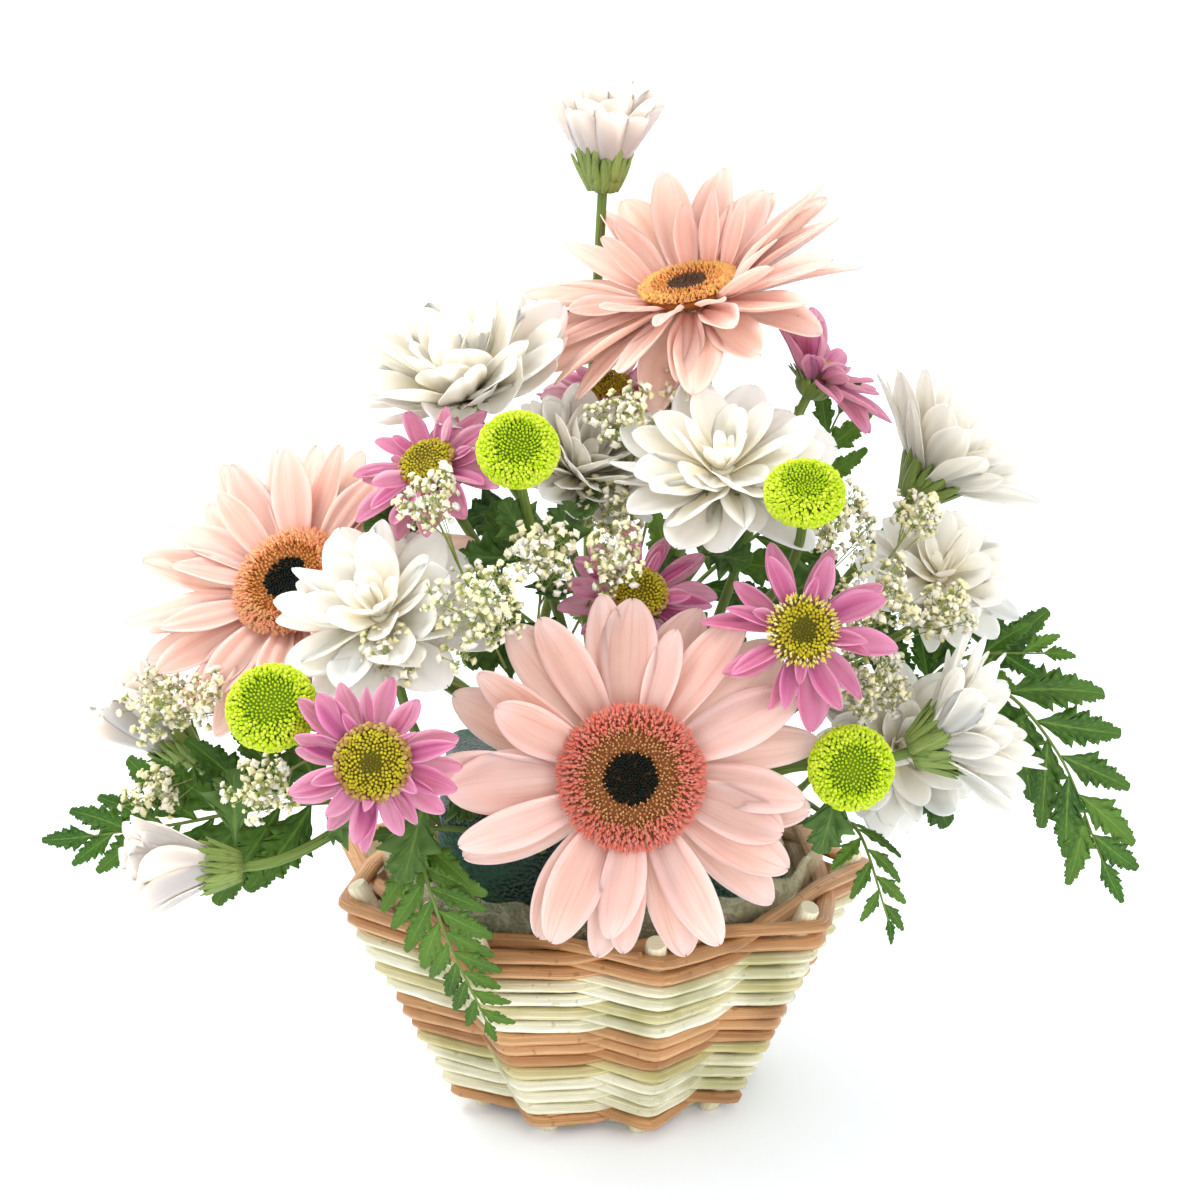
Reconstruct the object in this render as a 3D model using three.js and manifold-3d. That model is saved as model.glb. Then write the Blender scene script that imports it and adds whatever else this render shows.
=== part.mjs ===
// A small flower basket: gerberas, spray chrysanthemums and button chrysanthemums with
// fern and baby's breath, their stems standing in wet foam inside a woven basket.
// Millimetres, +Z up, the front of the arrangement towards -Y.
// The origin is the middle of the basket's underside, on the table.
import * as THREE from "three";
import { mergeVertices } from "three/addons/utils/BufferGeometryUtils.js";
import Module from "manifold-3d";

const wasm = await Module();
wasm.setup();

// ---------------------------------------------------------------- driving dimensions
const CLEAR = 0.3; // gap kept between two pieces that touch
const BASKET = {
  stakes: 9, // thick upright sticks, each at a corner of the fluted wall
  footRadius: 42, // middle of the strand round a corner, at the table
  rimRadius: 77, // the same at the rim
  height: 67.4, // top of the rim strands
  flute: 10.5, // how far the wall steps back between two stakes
  strand: 3.2, // thickness of a weaving strand
  groove: 0.9, // depth of the furrow between two rows
  stake: 2.9, // radius of a stake
  stakeTop: 70, // the cut ends stand just above the rim
  firstStake: 12, // degrees round from the front
  twist: -5, // degrees that the stakes lean round between foot and rim
  basePlate: 3, // thickness of the woven base
};
const LINER = { wall: 0.6, top: 76, frill: 3, sides: 18 };
const FOAM = { width: 90, depth: 80, bottom: 5, top: 95, bevel: 5 };
const HEART = new THREE.Vector3(0, 0, 64); // the point in the foam that all stems aim at
const BLADE = 0.8; // thickness of a leaf or a frond
const STEM_ROOT = 17; // distance from that point to a stem's cut end

const COLOURS = {
  pale: 0xe9e2b4,
  brown: 0xc08a5a,
  film: 0xdfe8e2,
  foam: 0x1f4a3a,
  peach: 0xf6c0ae,
  fringe: 0xd9705a,
  white: 0xfaf6ea,
  mauve: 0xcf6fae,
  button: 0x9ccc14,
  eye: 0xb8a42c,
  stem: 0x6e9440,
  fern: 0x2f6b30,
  breath: 0xe6e2c4,
};

// Each bloom: the middle of its back, the way it faces, its radius, and perhaps a turn about that way.
// A hidden disc is in one piece with its petals, and a short neck turns sharply below its bloom. A tilt
// raises the petals at the back, and lowers those at the front, by up to so many degrees.
const BLOOMS = {
  gerbera_front: { kind: "gerbera", at: [8, -84, 121], faces: [0, -0.96, 0.24], size: 49, turn: 14 },
  gerbera_left: { kind: "gerbera", at: [-81, -28, 154], faces: [-0.36, -0.62, 0.68], size: 47, turn: 13 },
  gerbera_top: { kind: "gerbera", at: [25, 5, 227], faces: [-0.2, -0.18, 0.96], size: 47, turn: 2, tilt: 16 },
  mum_tall: { kind: "bud", at: [1, 34, 259], faces: [0.05, 0, 1], size: 28 },
  mum_upper_left: { kind: "bowl", at: [-34, -4, 203], faces: [-0.24, -0.25, 0.93], size: 29, turn: 22 },
  mum_behind_button: { kind: "mum", at: [-9, -18, 187], faces: [0.25, -0.75, 0.6], size: 18, turn: 8 },
  mum_centre: { kind: "mum", at: [32, -46, 191], faces: [0, -0.5, 0.86], size: 28.5, turn: 5 },
  mum_right_top: { kind: "cup", at: [90, 10, 175], faces: [0.6, 0.1, 0.79], size: 30 },
  mum_right: { kind: "mum", at: [92, -16, 153], faces: [0.15, -0.5, 0.85], size: 22 },
  mum_right_side: { kind: "cup", at: [87, -64, 123], faces: [0.85, 0.05, 0.3], size: 28 },
  mum_right_low: { kind: "mum", at: [80, -36, 113], faces: [0, -0.93, 0.36], size: 22, turn: 12 },
  mum_left: { kind: "mum", at: [-56.5, -61.5, 155.5], faces: [-0.2, -0.5, 0.83], size: 26, neck: 0.12 },
  mum_left_low: { kind: "bud", at: [-101, -62, 88], faces: [-1, -0.1, 0.02], size: 24 },
  mum_left_back: { kind: "bud", at: [-118, -4, 102], faces: [-0.62, 0, 0.62], size: 25 },
  daisy_upper_left: { kind: "daisy", at: [-44, -42, 191], faces: [-0.35, -0.5, 0.8], size: 21 },
  daisy_front_left: { kind: "daisy", at: [-57, -97, 129], faces: [-0.05, -0.95, 0.3], size: 22, turn: 5 },
  daisy_right: { kind: "daisy", at: [51, -80, 158], faces: [0.15, -0.88, 0.42], size: 22 },
  daisy_top_right: { kind: "daisy", at: [58, -10, 208], faces: [0.45, 0.1, 0.88], size: 22, hidden: true },
  daisy_centre: { kind: "daisy", at: [10, -56, 160], faces: [0.1, -0.75, 0.65], size: 20 },
  daisy_behind: { kind: "daisy", at: [2, 10, 199], faces: [-0.1, -0.35, 0.93], size: 19, hidden: true },
  button_upper: { kind: "button", at: [-21, -62, 200], faces: [0, -0.75, 0.66], size: 10.8 },
  button_right: { kind: "button", at: [52, -72, 190], faces: [0, -0.5, 0.86], size: 10.6 },
  button_left: { kind: "button", at: [-83.5, -80, 136], faces: [-0.1, -0.72, 0.68], size: 12.4 },
  button_low: { kind: "button", at: [64, -82, 123], faces: [0.1, -0.96, 0.2], size: 11.4 },
};

// How each kind of bloom is made, in shares of its size unless a unit is given. A layer's petals grow from
// a heart `root` out from the axis, between `lift` and `lift + deep` mm up; they rise at `rise` degrees and
// bend by `curl` degrees to the tip. An outline gives [share of length, share of width].
const KINDS = {
  gerbera: {
    outline: [[0.4, 0.85], [0.84, 0.86]],
    layers: [
      { petals: 13, root: 0.25, lift: 0, deep: 1.8, length: 0.77, width: 0.25, rise: 2, curl: -6, cup: 0.06 },
      {
        petals: 11, root: 0.25, lift: 2.6, deep: 1.6,
        length: 0.64, width: 0.22, rise: 10, curl: -6, cup: 0.06,
      },
    ],
    top: 4.8,
    disc: { radius: 0.35, height: 5.5, eye: 0.14, dip: 3, sides: 12, bump: 0.5 },
    calyx: { radius: 0.15, height: 7 },
    stem: 2.4,
  },
  mum: {
    outline: [[0.5, 1], [0.86, 0.72]],
    layers: [
      { petals: 8, root: 0.17, lift: 0, deep: 1.4, length: 0.86, width: 0.4, rise: 4, curl: 2, cup: 0.12 },
      {
        petals: 6, root: 0.15, lift: 1.9, deep: 1.4,
        length: 0.72, width: 0.38, rise: 30, curl: 8, cup: 0.14,
      },
      { petals: 4, root: 0.1, lift: 3.8, deep: 1.4, length: 0.55, width: 0.27, rise: 60, curl: 8, cup: 0.12 },
    ],
    top: 5.6,
    calyx: { radius: 0.21, height: 5 },
    stem: 1.3,
  },
  bowl: {
    outline: [[0.5, 1], [0.86, 0.75]],
    layers: [
      { petals: 8, root: 0.17, lift: 0, deep: 1.6, length: 0.88, width: 0.4, rise: 22, curl: 6, cup: 0.12 },
      { petals: 6, root: 0.14, lift: 2, deep: 1.5, length: 0.78, width: 0.36, rise: 44, curl: 8, cup: 0.12 },
      { petals: 4, root: 0.1, lift: 4, deep: 1.4, length: 0.58, width: 0.27, rise: 66, curl: 8, cup: 0.1 },
    ],
    top: 5.8,
    calyx: { radius: 0.21, height: 5.5 },
    stem: 1.3,
  },
  cup: {
    outline: [[0.5, 1], [0.86, 0.75]],
    layers: [
      { petals: 7, root: 0.17, lift: 0, deep: 1.8, length: 0.94, width: 0.38, rise: 46, curl: 12, cup: 0.14 },
      { petals: 5, root: 0.12, lift: 2.4, deep: 1.6, length: 0.8, width: 0.3, rise: 66, curl: 8, cup: 0.12 },
    ],
    top: 4.6,
    calyx: { radius: 0.24, height: 6 },
    stem: 1.4,
  },
  bud: {
    outline: [[0.5, 1], [0.86, 0.8]],
    layers: [
      { petals: 7, root: 0.17, lift: 0, deep: 1.8, length: 0.98, width: 0.32, rise: 57, curl: 14, cup: 0.08 },
      {
        petals: 5, root: 0.11, lift: 2.4, deep: 1.6,
        length: 0.84, width: 0.22, rise: 74, curl: 8, cup: 0.06,
      },
    ],
    top: 4.6,
    calyx: { radius: 0.24, height: 6 },
    stem: 1.4,
  },
  daisy: {
    outline: [[0.45, 1], [0.86, 0.74]],
    layers: [
      { petals: 9, root: 0.3, lift: 0, deep: 1.4, length: 0.72, width: 0.38, rise: 0, curl: -4, cup: 0.1 },
      { petals: 7, root: 0.28, lift: 1.9, deep: 1.3, length: 0.6, width: 0.34, rise: 16, curl: 4, cup: 0.1 },
    ],
    top: 3.5,
    disc: { radius: 0.35, height: 3.6, eye: 0.1, dip: 1.2, sides: 10, bump: 0.4 },
    calyx: { radius: 0.25, height: 4.5 },
    stem: 1.3,
  },
  button: {
    dome: { sides: 12, height: 1.05, bump: 0.09 },
    calyx: { radius: 0.4, height: 3.5 },
    stem: 1.3,
  },
};

// Cut stems. `out` is the way that each leaves the foam, in degrees round from the front and up from level;
// `fork` is how far out it parts. A leaf grows from a fork to the point named and is so many mm wide.
const STEMS = {
  gerbera_front_stem: { out: [5, 44], fork: 48, carries: ["gerbera_front"] },
  gerbera_left_stem: { out: [-112, 52], fork: 46, carries: ["gerbera_left"] },
  gerbera_top_stem: { out: [110, 78], fork: 46, carries: ["gerbera_top"] },
  white_spray_tall: { out: [186, 66], fork: 60, carries: ["mum_tall", "mum_upper_left"] },
  white_spray_middle: {
    out: [16, 72],
    fork: 60,
    carries: ["mum_centre", "mum_behind_button"],
    leaves: [[18, -42, 168, 9]],
  },
  white_spray_right: { out: [100, 50], fork: 52, carries: ["mum_right_top", "mum_right"] },
  white_spray_low_right: { out: [58, 36], fork: 60, carries: ["mum_right_side", "mum_right_low"] },
  white_spray_left: { out: [-54, 36], fork: 58, carries: ["mum_left", "mum_left_low", "mum_left_back"] },
  mauve_spray_left: {
    out: [-33, 36],
    fork: 55,
    carries: ["daisy_front_left", "button_left"],
    leaves: [[-31, -80, 113, 10]],
  },
  mauve_spray_upper: { out: [-75, 74], fork: 58, carries: ["daisy_upper_left", "daisy_behind"] },
  mauve_spray_right: { out: [34, 42], fork: 52, carries: ["daisy_right", "button_low"] },
  mauve_spray_top: { out: [60, 64], fork: 56, carries: ["daisy_top_right", "button_right"] },
  mauve_spray_middle: {
    out: [-8, 62],
    fork: 54,
    carries: ["daisy_centre", "button_upper"],
    leaves: [[-8, -36, 180, 9]],
  },
};

// Fern fronds: the points that each rib passes through past its fork, the way that the blade's face looks,
// where the leaflets begin as a share of the rib's length, and the longest leaflet.
const FERNS = {
  fern_left: {
    out: [-74, 24],
    fork: 60,
    fronds: [
      {
        rib: [[-90, -34, 95], [-119, -40, 92], [-148, -48, 90]],
        face: [0, -0.95, 0.3],
        leafy: 0.4,
        width: 24,
        pairs: 6,
      },
    ],
  },
  fern_front: {
    out: [-22, 26],
    fork: 56,
    fronds: [
      {
        rib: [[-46, -68, 100], [-42, -79, 80], [-30, -77, 50]],
        face: [-0.3, -0.9, 0.4],
        leafy: 0.42,
        width: 12,
        pairs: 5,
      },
    ],
  },
  fern_right: {
    out: [80, 26],
    fork: 56,
    fronds: [
      {
        rib: [[82, 0, 118], [108, -8, 122], [126, -20, 106], [138, -30, 78]],
        face: [0.2, -0.9, 0.5],
        leafy: 0.4,
        width: 24,
        pairs: 6,
      },
      {
        rib: [[62, -32, 92], [69, -58, 96], [76, -73, 77]],
        face: [0.3, -0.8, 0.5],
        leafy: 0.5,
        width: 9,
        pairs: 3,
      },
    ],
  },
  fern_back: {
    out: [180, 45],
    fork: 56,
    fronds: [
      { rib: [[8, 70, 124], [12, 100, 116]], face: [0, 0.2, 1], leafy: 0.3, width: 22, pairs: 4 },
      { rib: [[-36, 54, 134], [-76, 58, 158]], face: [0.4, 0.3, 0.85], leafy: 0.36, width: 20, pairs: 4 },
      {
        rib: [[30, 38, 140], [56, 28, 168], [72, 20, 198]],
        face: [0, -0.9, 0.3],
        leafy: 0.4,
        width: 18,
        pairs: 4,
      },
    ],
  },
};

// Baby's breath: the way each spray leaves the foam, and the middle and radius of its tufts.
const BREATH = {
  breath_left: { out: [-94, 30], tufts: [[-119, -20, 121, 10], [-86, -68, 108, 9]], seed: 3 },
  breath_centre: { out: [-24, 52], tufts: [[-28, -79, 160, 13], [-44, -66, 180, 7]], seed: 5 },
  breath_top: { out: [50, 84], tufts: [[16, -22, 200, 10], [3, -30, 170, 6]], seed: 7 },
  breath_right: { out: [66, 46], tufts: [[64, -34, 172, 11], [70, -58, 138, 9]], seed: 9 },
};

// ---------------------------------------------------------------- shared helpers
const rad = THREE.MathUtils.degToRad;
const vec = (p) => new THREE.Vector3(p[0], p[1], p[2]);

function randomFrom(seed) {
  let state = seed * 2654435761;
  return () => {
    state = (Math.imul(state ^ (state >>> 15), 1 | state) + 0x6d2b79f5) | 0;
    const mixed = Math.imul(state ^ (state >>> 7), 61 | state) ^ state;
    return ((mixed ^ (mixed >>> 14)) >>> 0) / 4294967296;
  };
}

// True when the faces of a closed mesh point outwards: the sum is six times its signed volume.
function turnsOutward(points, faces) {
  let sum = 0;
  for (const [a, b, c] of faces) {
    const [p, q, r] = [points[a], points[b], points[c]];
    sum += p.x * (q.y * r.z - q.z * r.y) - p.y * (q.x * r.z - q.z * r.x) + p.z * (q.x * r.y - q.y * r.x);
  }
  return sum > 0;
}

// A closed skin over rows of points: rings of equal count, with a single point allowed as the last row.
function loft(rings) {
  const points = rings.flat();
  const faces = [];
  const start = [];
  rings.reduce((sum, ring) => (start.push(sum), sum + ring.length), 0);
  const n = rings[0].length;
  for (let i = 0; i + 1 < rings.length; i++) {
    const [a, b] = [start[i], start[i + 1]];
    const tip = rings[i + 1].length === 1;
    for (let k = 0; k < n; k++) {
      const next = (k + 1) % n;
      if (tip) faces.push([a + k, a + next, b]);
      else faces.push([a + k, a + next, b + next], [a + k, b + next, b + k]);
    }
  }
  for (let k = 1; k < n - 1; k++) faces.push([0, k + 1, k]);
  const last = start.at(-1);
  if (rings.at(-1).length > 1) for (let k = 1; k < n - 1; k++) faces.push([last, last + k, last + k + 1]);
  return indexed(points, faces);
}

function indexed(points, faces) {
  const outward = turnsOutward(points, faces) ? faces : faces.map(([a, b, c]) => [a, c, b]);
  return new THREE.BufferGeometry()
    .setAttribute("position", new THREE.Float32BufferAttribute(points.flatMap((p) => p.toArray()), 3))
    .setIndex(outward.flat());
}

function toSolid(geometry) {
  const bare = new THREE.BufferGeometry().setAttribute("position", geometry.getAttribute("position").clone());
  if (geometry.index) bare.setIndex(geometry.index.clone());
  const merged = mergeVertices(bare, 1e-3);
  return new wasm.Manifold(
    new wasm.Mesh({
      numProp: 3,
      vertProperties: merged.attributes.position.array,
      triVerts: new Uint32Array(merged.index.array),
    }),
  );
}

function toGeometry(solid) {
  const mesh = solid.getMesh();
  return new THREE.BufferGeometry()
    .setAttribute("position", new THREE.Float32BufferAttribute(mesh.vertProperties, 3))
    .setIndex([...mesh.triVerts]);
}

const fuse = (geometries) => wasm.Manifold.union(geometries.map(toSolid));

function mesh(name, geometry, colour, roughness = 0.7) {
  const surface = new THREE.MeshStandardMaterial({ color: colour, roughness, metalness: 0 });
  const made = new THREE.Mesh(geometry, surface);
  made.name = name;
  return made;
}

// ---------------------------------------------------------------- basket
const stakeStep = (2 * Math.PI) / BASKET.stakes;
const cornerRadius = (z) => BASKET.footRadius + ((BASKET.rimRadius - BASKET.footRadius) * z) / BASKET.height;
const recessRadius = (z) => cornerRadius(z) - BASKET.flute;
// The inner face of the wall, where it is flat behind a stake.
const flatRadius = (z) => (recessRadius(z) - BASKET.strand / 2 - 0.8) * Math.cos(stakeStep / 2);
const stakeRadius = (z) => cornerRadius(z) - BASKET.strand / 2 - BASKET.stake * 1.46;
const stakeAngle = (k, z) =>
  rad(BASKET.firstStake - 90 + BASKET.twist * (1 - z / BASKET.height) * -1) + k * stakeStep;
const polar = (radius, angle, z) => new THREE.Vector3(radius * Math.cos(angle), radius * Math.sin(angle), z);

// A band of rows, in plan a fluted ring with a three-sided opening round each stake: the strand outside
// turns a corner there, and the strand behind runs straight from one recess to the next.
function weaveBand(from, to, rows) {
  const half = BASKET.strand / 2;
  const pitch = (to - from) / rows;
  const [low, high] = [from + CLEAR / 2, to - CLEAR / 2];
  const contour = [];
  const inner = [];
  const openings = [];
  for (let k = 0; k < BASKET.stakes; k++) {
    contour.push([cornerRadius, k, half], [recessRadius, k + 0.5, half]);
    inner.push([recessRadius, k + 0.5, -half - 0.8]);
    const side = (turn) => [recessRadius, turn, -half + 1.6];
    openings.push([side(k - 0.42), [cornerRadius, k, -half], side(k + 0.42)]);
  }
  const place = ([radius, turn, out], z, dent = 0) => polar(radius(z) + out - dent, stakeAngle(turn, z), z);
  const flat = (loop) => loop.map((p) => new THREE.Vector2(...place(p, low).toArray()));
  const loops = [contour, inner, ...openings];
  const plan = loops.flat();
  const caps = THREE.ShapeUtils.triangulateShape(flat(contour), [inner, ...openings].map(flat));
  const heights = [[low, BASKET.groove]];
  for (let i = 0; i < rows; i++) {
    const top = i === rows - 1 ? high : from + (i + 1) * pitch;
    heights.push([from + (i + 0.5) * pitch, 0], [top, BASKET.groove]);
  }
  const points = [];
  const faces = [];
  const n = plan.length;
  const wide = contour.length;
  // Vertices: the whole plan at the bottom and at the top, then the contour at each height between.
  for (const z of [low, high]) plan.forEach((p, i) => points.push(place(p, z, i < wide ? BASKET.groove : 0)));
  for (const [z, dent] of heights.slice(1, -1)) contour.forEach((p) => points.push(place(p, z, dent)));
  for (const [a, b, c] of caps) faces.push([a, c, b], [n + a, n + b, n + c]);
  let start = wide;
  for (const loop of loops.slice(1)) {
    const ids = loop.map((_, i) => start + i);
    start += loop.length;
    addWall(faces, ids, ids.map((i) => n + i), false);
  }
  const edge = contour.map((_, i) => i);
  const between = heights.slice(1, -1).map((_, j) => edge.map((i) => 2 * n + j * wide + i));
  const levels = [edge, ...between, edge.map((i) => n + i)];
  for (let j = 0; j + 1 < levels.length; j++) addWall(faces, levels[j], levels[j + 1]);
  return indexed(points, faces);
}

function baseAndStakes() {
  const outline = [];
  for (let k = 0; k < BASKET.stakes; k++) {
    outline.push(polar(stakeRadius(0) + BASKET.stake, stakeAngle(k, 0), 0));
    outline.push(polar(recessRadius(0) - 1, stakeAngle(k + 0.5, 0), 0));
  }
  const plate = new THREE.ExtrudeGeometry(new THREE.Shape(outline.map((p) => new THREE.Vector2(p.x, p.y))), {
    depth: BASKET.basePlate,
    bevelEnabled: false,
  });
  const sticks = [];
  for (let k = 0; k < BASKET.stakes; k++) {
    const ring = (z) => {
      const middle = polar(stakeRadius(z), stakeAngle(k, z), z);
      return Array.from({ length: 5 }, (_, i) => {
        const around = (i / 5) * 2 * Math.PI + stakeAngle(k, z);
        return middle.clone().add(polar(BASKET.stake, around, 0));
      });
    };
    sticks.push(loft([ring(BASKET.basePlate / 2), ring(BASKET.stakeTop)]));
  }
  return toGeometry(fuse([plate, ...sticks]));
}

// Adds the wall between two rings of vertices, split the same way whether it faces out or in.
function addWall(faces, low, high, out = true) {
  low.forEach((a, i) => {
    const [b, c, d] = [low[(i + 1) % low.length], high[(i + 1) % low.length], high[i]];
    faces.push(...(out ? [[a, b, c], [a, c, d]] : [[a, c, b], [a, d, c]]));
  });
}

// The clear film that keeps the water in: a thin cup inside the weave, its edge crumpled over the rim.
function liner() {
  const outer = (z) => flatRadius(z) - CLEAR - 0.2;
  const floor = BASKET.basePlate + CLEAR;
  const edge = outer(BASKET.height) + 1.5;
  const points = [];
  const faces = [];
  const ring = (radius, z, frill = 0) =>
    Array.from({ length: LINER.sides }, (_, i) => {
      const crease = i % 2 ? frill : -frill;
      return points.push(polar(radius - crease * 0.4, (i / LINER.sides) * 2 * Math.PI, z + crease)) - 1;
    });
  const outside = [
    ring(outer(floor), floor),
    ring(edge - 2.5, BASKET.height),
    ring(edge, LINER.top, LINER.frill),
  ];
  const inside = [
    ring(outer(floor) - LINER.wall, floor + LINER.wall),
    ring(edge - 2.5 - LINER.wall, BASKET.height),
    ring(edge - LINER.wall, LINER.top, LINER.frill),
  ];
  for (const i of [0, 1]) {
    addWall(faces, outside[i], outside[i + 1]);
    addWall(faces, inside[i], inside[i + 1], false);
  }
  addWall(faces, outside[2], inside[2]);
  for (let i = 1; i < LINER.sides - 1; i++) {
    faces.push([outside[0][0], outside[0][i + 1], outside[0][i]]);
    faces.push([inside[0][0], inside[0][i], inside[0][i + 1]]);
  }
  return indexed(points, faces);
}

// A brick of foam, trimmed to the taper of the basket, with a plain hole for each stem.
function foam(holes) {
  const inner = (z) => flatRadius(z) - CLEAR * 2 - LINER.wall * 1.5 - 0.6;
  const profile = [
    [0, FOAM.bottom],
    [inner(FOAM.bottom), FOAM.bottom],
    [inner(BASKET.height) - 2, BASKET.height],
    [inner(BASKET.height) - 2, FOAM.top - FOAM.bevel],
    [inner(BASKET.height) - 2 - FOAM.bevel, FOAM.top],
    [0, FOAM.top],
  ];
  const round = new THREE.LatheGeometry(profile.map(([r, z]) => new THREE.Vector2(r, z)), 12);
  round.rotateX(Math.PI / 2);
  const brick = new THREE.BoxGeometry(FOAM.width, FOAM.depth, FOAM.top * 2);
  return toGeometry(toSolid(round).intersect(toSolid(brick)).subtract(fuse(holes)));
}

// ---------------------------------------------------------------- blooms
// The rings of one petal along +X from its root to its tip: dished above and keeled below.
function petalRings(size, layer, outline, sway) {
  const rings = [];
  const place = new THREE.Vector3(layer.root * size, 0, layer.lift + layer.deep * 0.7);
  const slopeAt = (share) => rad(layer.rise + sway + layer.curl * share);
  let done = 0;
  for (const [share, wide] of [...outline, [1, 0]]) {
    const slope = slopeAt((share + done) / 2);
    const step = (share - done) * layer.length * size;
    place.add(new THREE.Vector3(Math.cos(slope) * step, 0, Math.sin(slope) * step));
    done = share;
    const normal = new THREE.Vector3(-Math.sin(slopeAt(share)), 0, Math.cos(slopeAt(share)));
    const half = (layer.width * size * wide) / 2;
    const edge = place.clone().addScaledVector(normal, layer.cup * half * 2 + 0.3);
    const keel = place.clone().addScaledVector(normal, -0.5);
    if (wide === 0) rings.push([place.clone()]);
    else rings.push([edge.clone().setY(half), edge.clone().setY(-half), keel]);
  }
  return rings;
}

// All the petals of a bloom in one skin. The heart is a stack of rings whose facets point up and down in
// turn, and each petal grows out of one facet that points down.
function petals(bloom, kind, seed) {
  const random = randomFrom(seed);
  const points = [];
  const faces = [];
  const add = (p) => points.push(p) - 1;
  const ringOf = (count, radius, z, shift) =>
    Array.from({ length: count }, (_, i) => add(polar(radius, ((i + shift) / count) * 2 * Math.PI, z)));
  const band = (low, high) => {
    let [i, j] = [0, 0];
    while (i < low.length || j < high.length) {
      const [a, b] = [low[i % low.length], high[j % high.length]];
      if (j / high.length < i / low.length || i === low.length) faces.push([a, high[++j % high.length], b]);
      else faces.push([a, low[++i % low.length], b]);
    }
  };
  const cap = (ring, up) => {
    for (let i = 1; i < ring.length - 1; i++) {
      faces.push(up ? [ring[0], ring[i], ring[i + 1]] : [ring[0], ring[i + 1], ring[i]]);
    }
  };
  let below = null;
  for (const layer of kind.layers) {
    const count = layer.petals;
    const low = ringOf(count, layer.root * bloom.size, layer.lift, 0);
    const high = ringOf(count, layer.root * bloom.size, layer.lift + layer.deep, 0.5);
    if (below) band(below, low);
    else cap(low, false);
    for (let i = 0; i < count; i++) {
      const [left, right, keel] = [high[i], high[(i + count - 1) % count], low[i]];
      faces.push([keel, low[(i + 1) % count], left]);
      const turn = ((i + (random() - 0.5) * 0.08) / count) * 2 * Math.PI;
      const away = polar(1, turn, 0).applyQuaternion(facing(bloom)).y;
      const sway = (random() - 0.5) * 3 + (bloom.tilt ?? 0) * away;
      const rings = petalRings(bloom.size, layer, kind.outline, sway);
      let last = [left, right, keel];
      for (const ring of rings) {
        const next = ring.map((p) => add(p.applyAxisAngle(new THREE.Vector3(0, 0, 1), turn)));
        for (let k = 0; k < 3; k++) {
          const [a, b] = [last[k], last[(k + 1) % 3]];
          if (next.length === 1) faces.push([a, b, next[0]]);
          else faces.push([a, b, next[(k + 1) % 3]], [a, next[(k + 1) % 3], next[k]]);
        }
        last = next;
      }
    }
    below = high;
  }
  const [last, size] = [kind.layers.at(-1), bloom.size];
  const tops = bloom.hidden ? [[1.15, kind.top + 1.2], [0.9, kind.top + 2.6]] : [[0.8, kind.top]];
  for (const [share, z] of tops) {
    const crown = ringOf(last.petals, last.root * size * share, z, 0.5);
    band(below, crown);
    below = crown;
  }
  cap(below, true);
  return indexed(points, faces);
}

// A disc of florets: a raised ring round a dipped eye, its florets lifted from the surface in turn.
function disc(bloom, kind) {
  const { radius, height, eye, dip, sides, bump } = kind.disc;
  const r = radius * bloom.size;
  const profile = [
    [0, 0],
    [r * 0.8, 0],
    [r, height * 0.35],
    [r * 0.92, height * 0.75],
    [r * 0.7, height],
    [(r + eye * bloom.size) / 2, height],
    [eye * bloom.size, height - dip * 0.4],
    [0, height - dip],
  ];
  const made = new THREE.LatheGeometry(profile.map(([x, y]) => new THREE.Vector2(x, y)), sides);
  made.rotateX(Math.PI / 2);
  raiseFlorets(made, sides, bump, (x, z) => z > 0.2 && x > eye * bloom.size * 0.9);
  made.translate(0, 0, kind.top + CLEAR);
  return toGeometry(toSolid(made));
}

// Pushes every second vertex of a turned shape out from its middle, in a chequer.
function raiseFlorets(made, sides, amount, wanted) {
  const place = made.getAttribute("position");
  const rows = place.count / (sides + 1);
  const at = new THREE.Vector3();
  for (let i = 0; i < place.count; i++) {
    at.fromBufferAttribute(place, i);
    const [column, row] = [Math.floor(i / rows) % sides, i % rows];
    if (!wanted(Math.hypot(at.x, at.y), at.z)) continue;
    const push = (column + row) % 2 ? amount : -amount;
    at.multiplyScalar(1 + push / at.length());
    place.setXYZ(i, at.x, at.y, at.z);
  }
}

// A button bloom: a tight dome of florets, dimpled at the top.
function button(bloom, kind) {
  const { sides, height, bump } = kind.dome;
  const r = bloom.size;
  const profile = [[0, 0]];
  for (let i = 0; i <= 6; i++) {
    const lean = rad(-38 + i * 20);
    profile.push([Math.cos(lean) * r, (Math.sin(lean) + 0.62) * r * height * 0.62]);
  }
  profile.push([0, profile.at(-1)[1] - 0.4]);
  const dome = new THREE.LatheGeometry(profile.map(([x, y]) => new THREE.Vector2(x, y)), sides);
  dome.rotateX(Math.PI / 2);
  raiseFlorets(dome, sides, bump * r, (x, z) => z > 1 && x > 0.1);
  return toGeometry(toSolid(dome));
}

function facing(bloom) {
  const way = vec(bloom.faces).normalize();
  const up = new THREE.Vector3(0, 0, 1);
  const lean = new THREE.Quaternion().setFromUnitVectors(up, way);
  return lean.multiply(new THREE.Quaternion().setFromAxisAngle(up, rad(bloom.turn ?? 0)));
}

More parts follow.
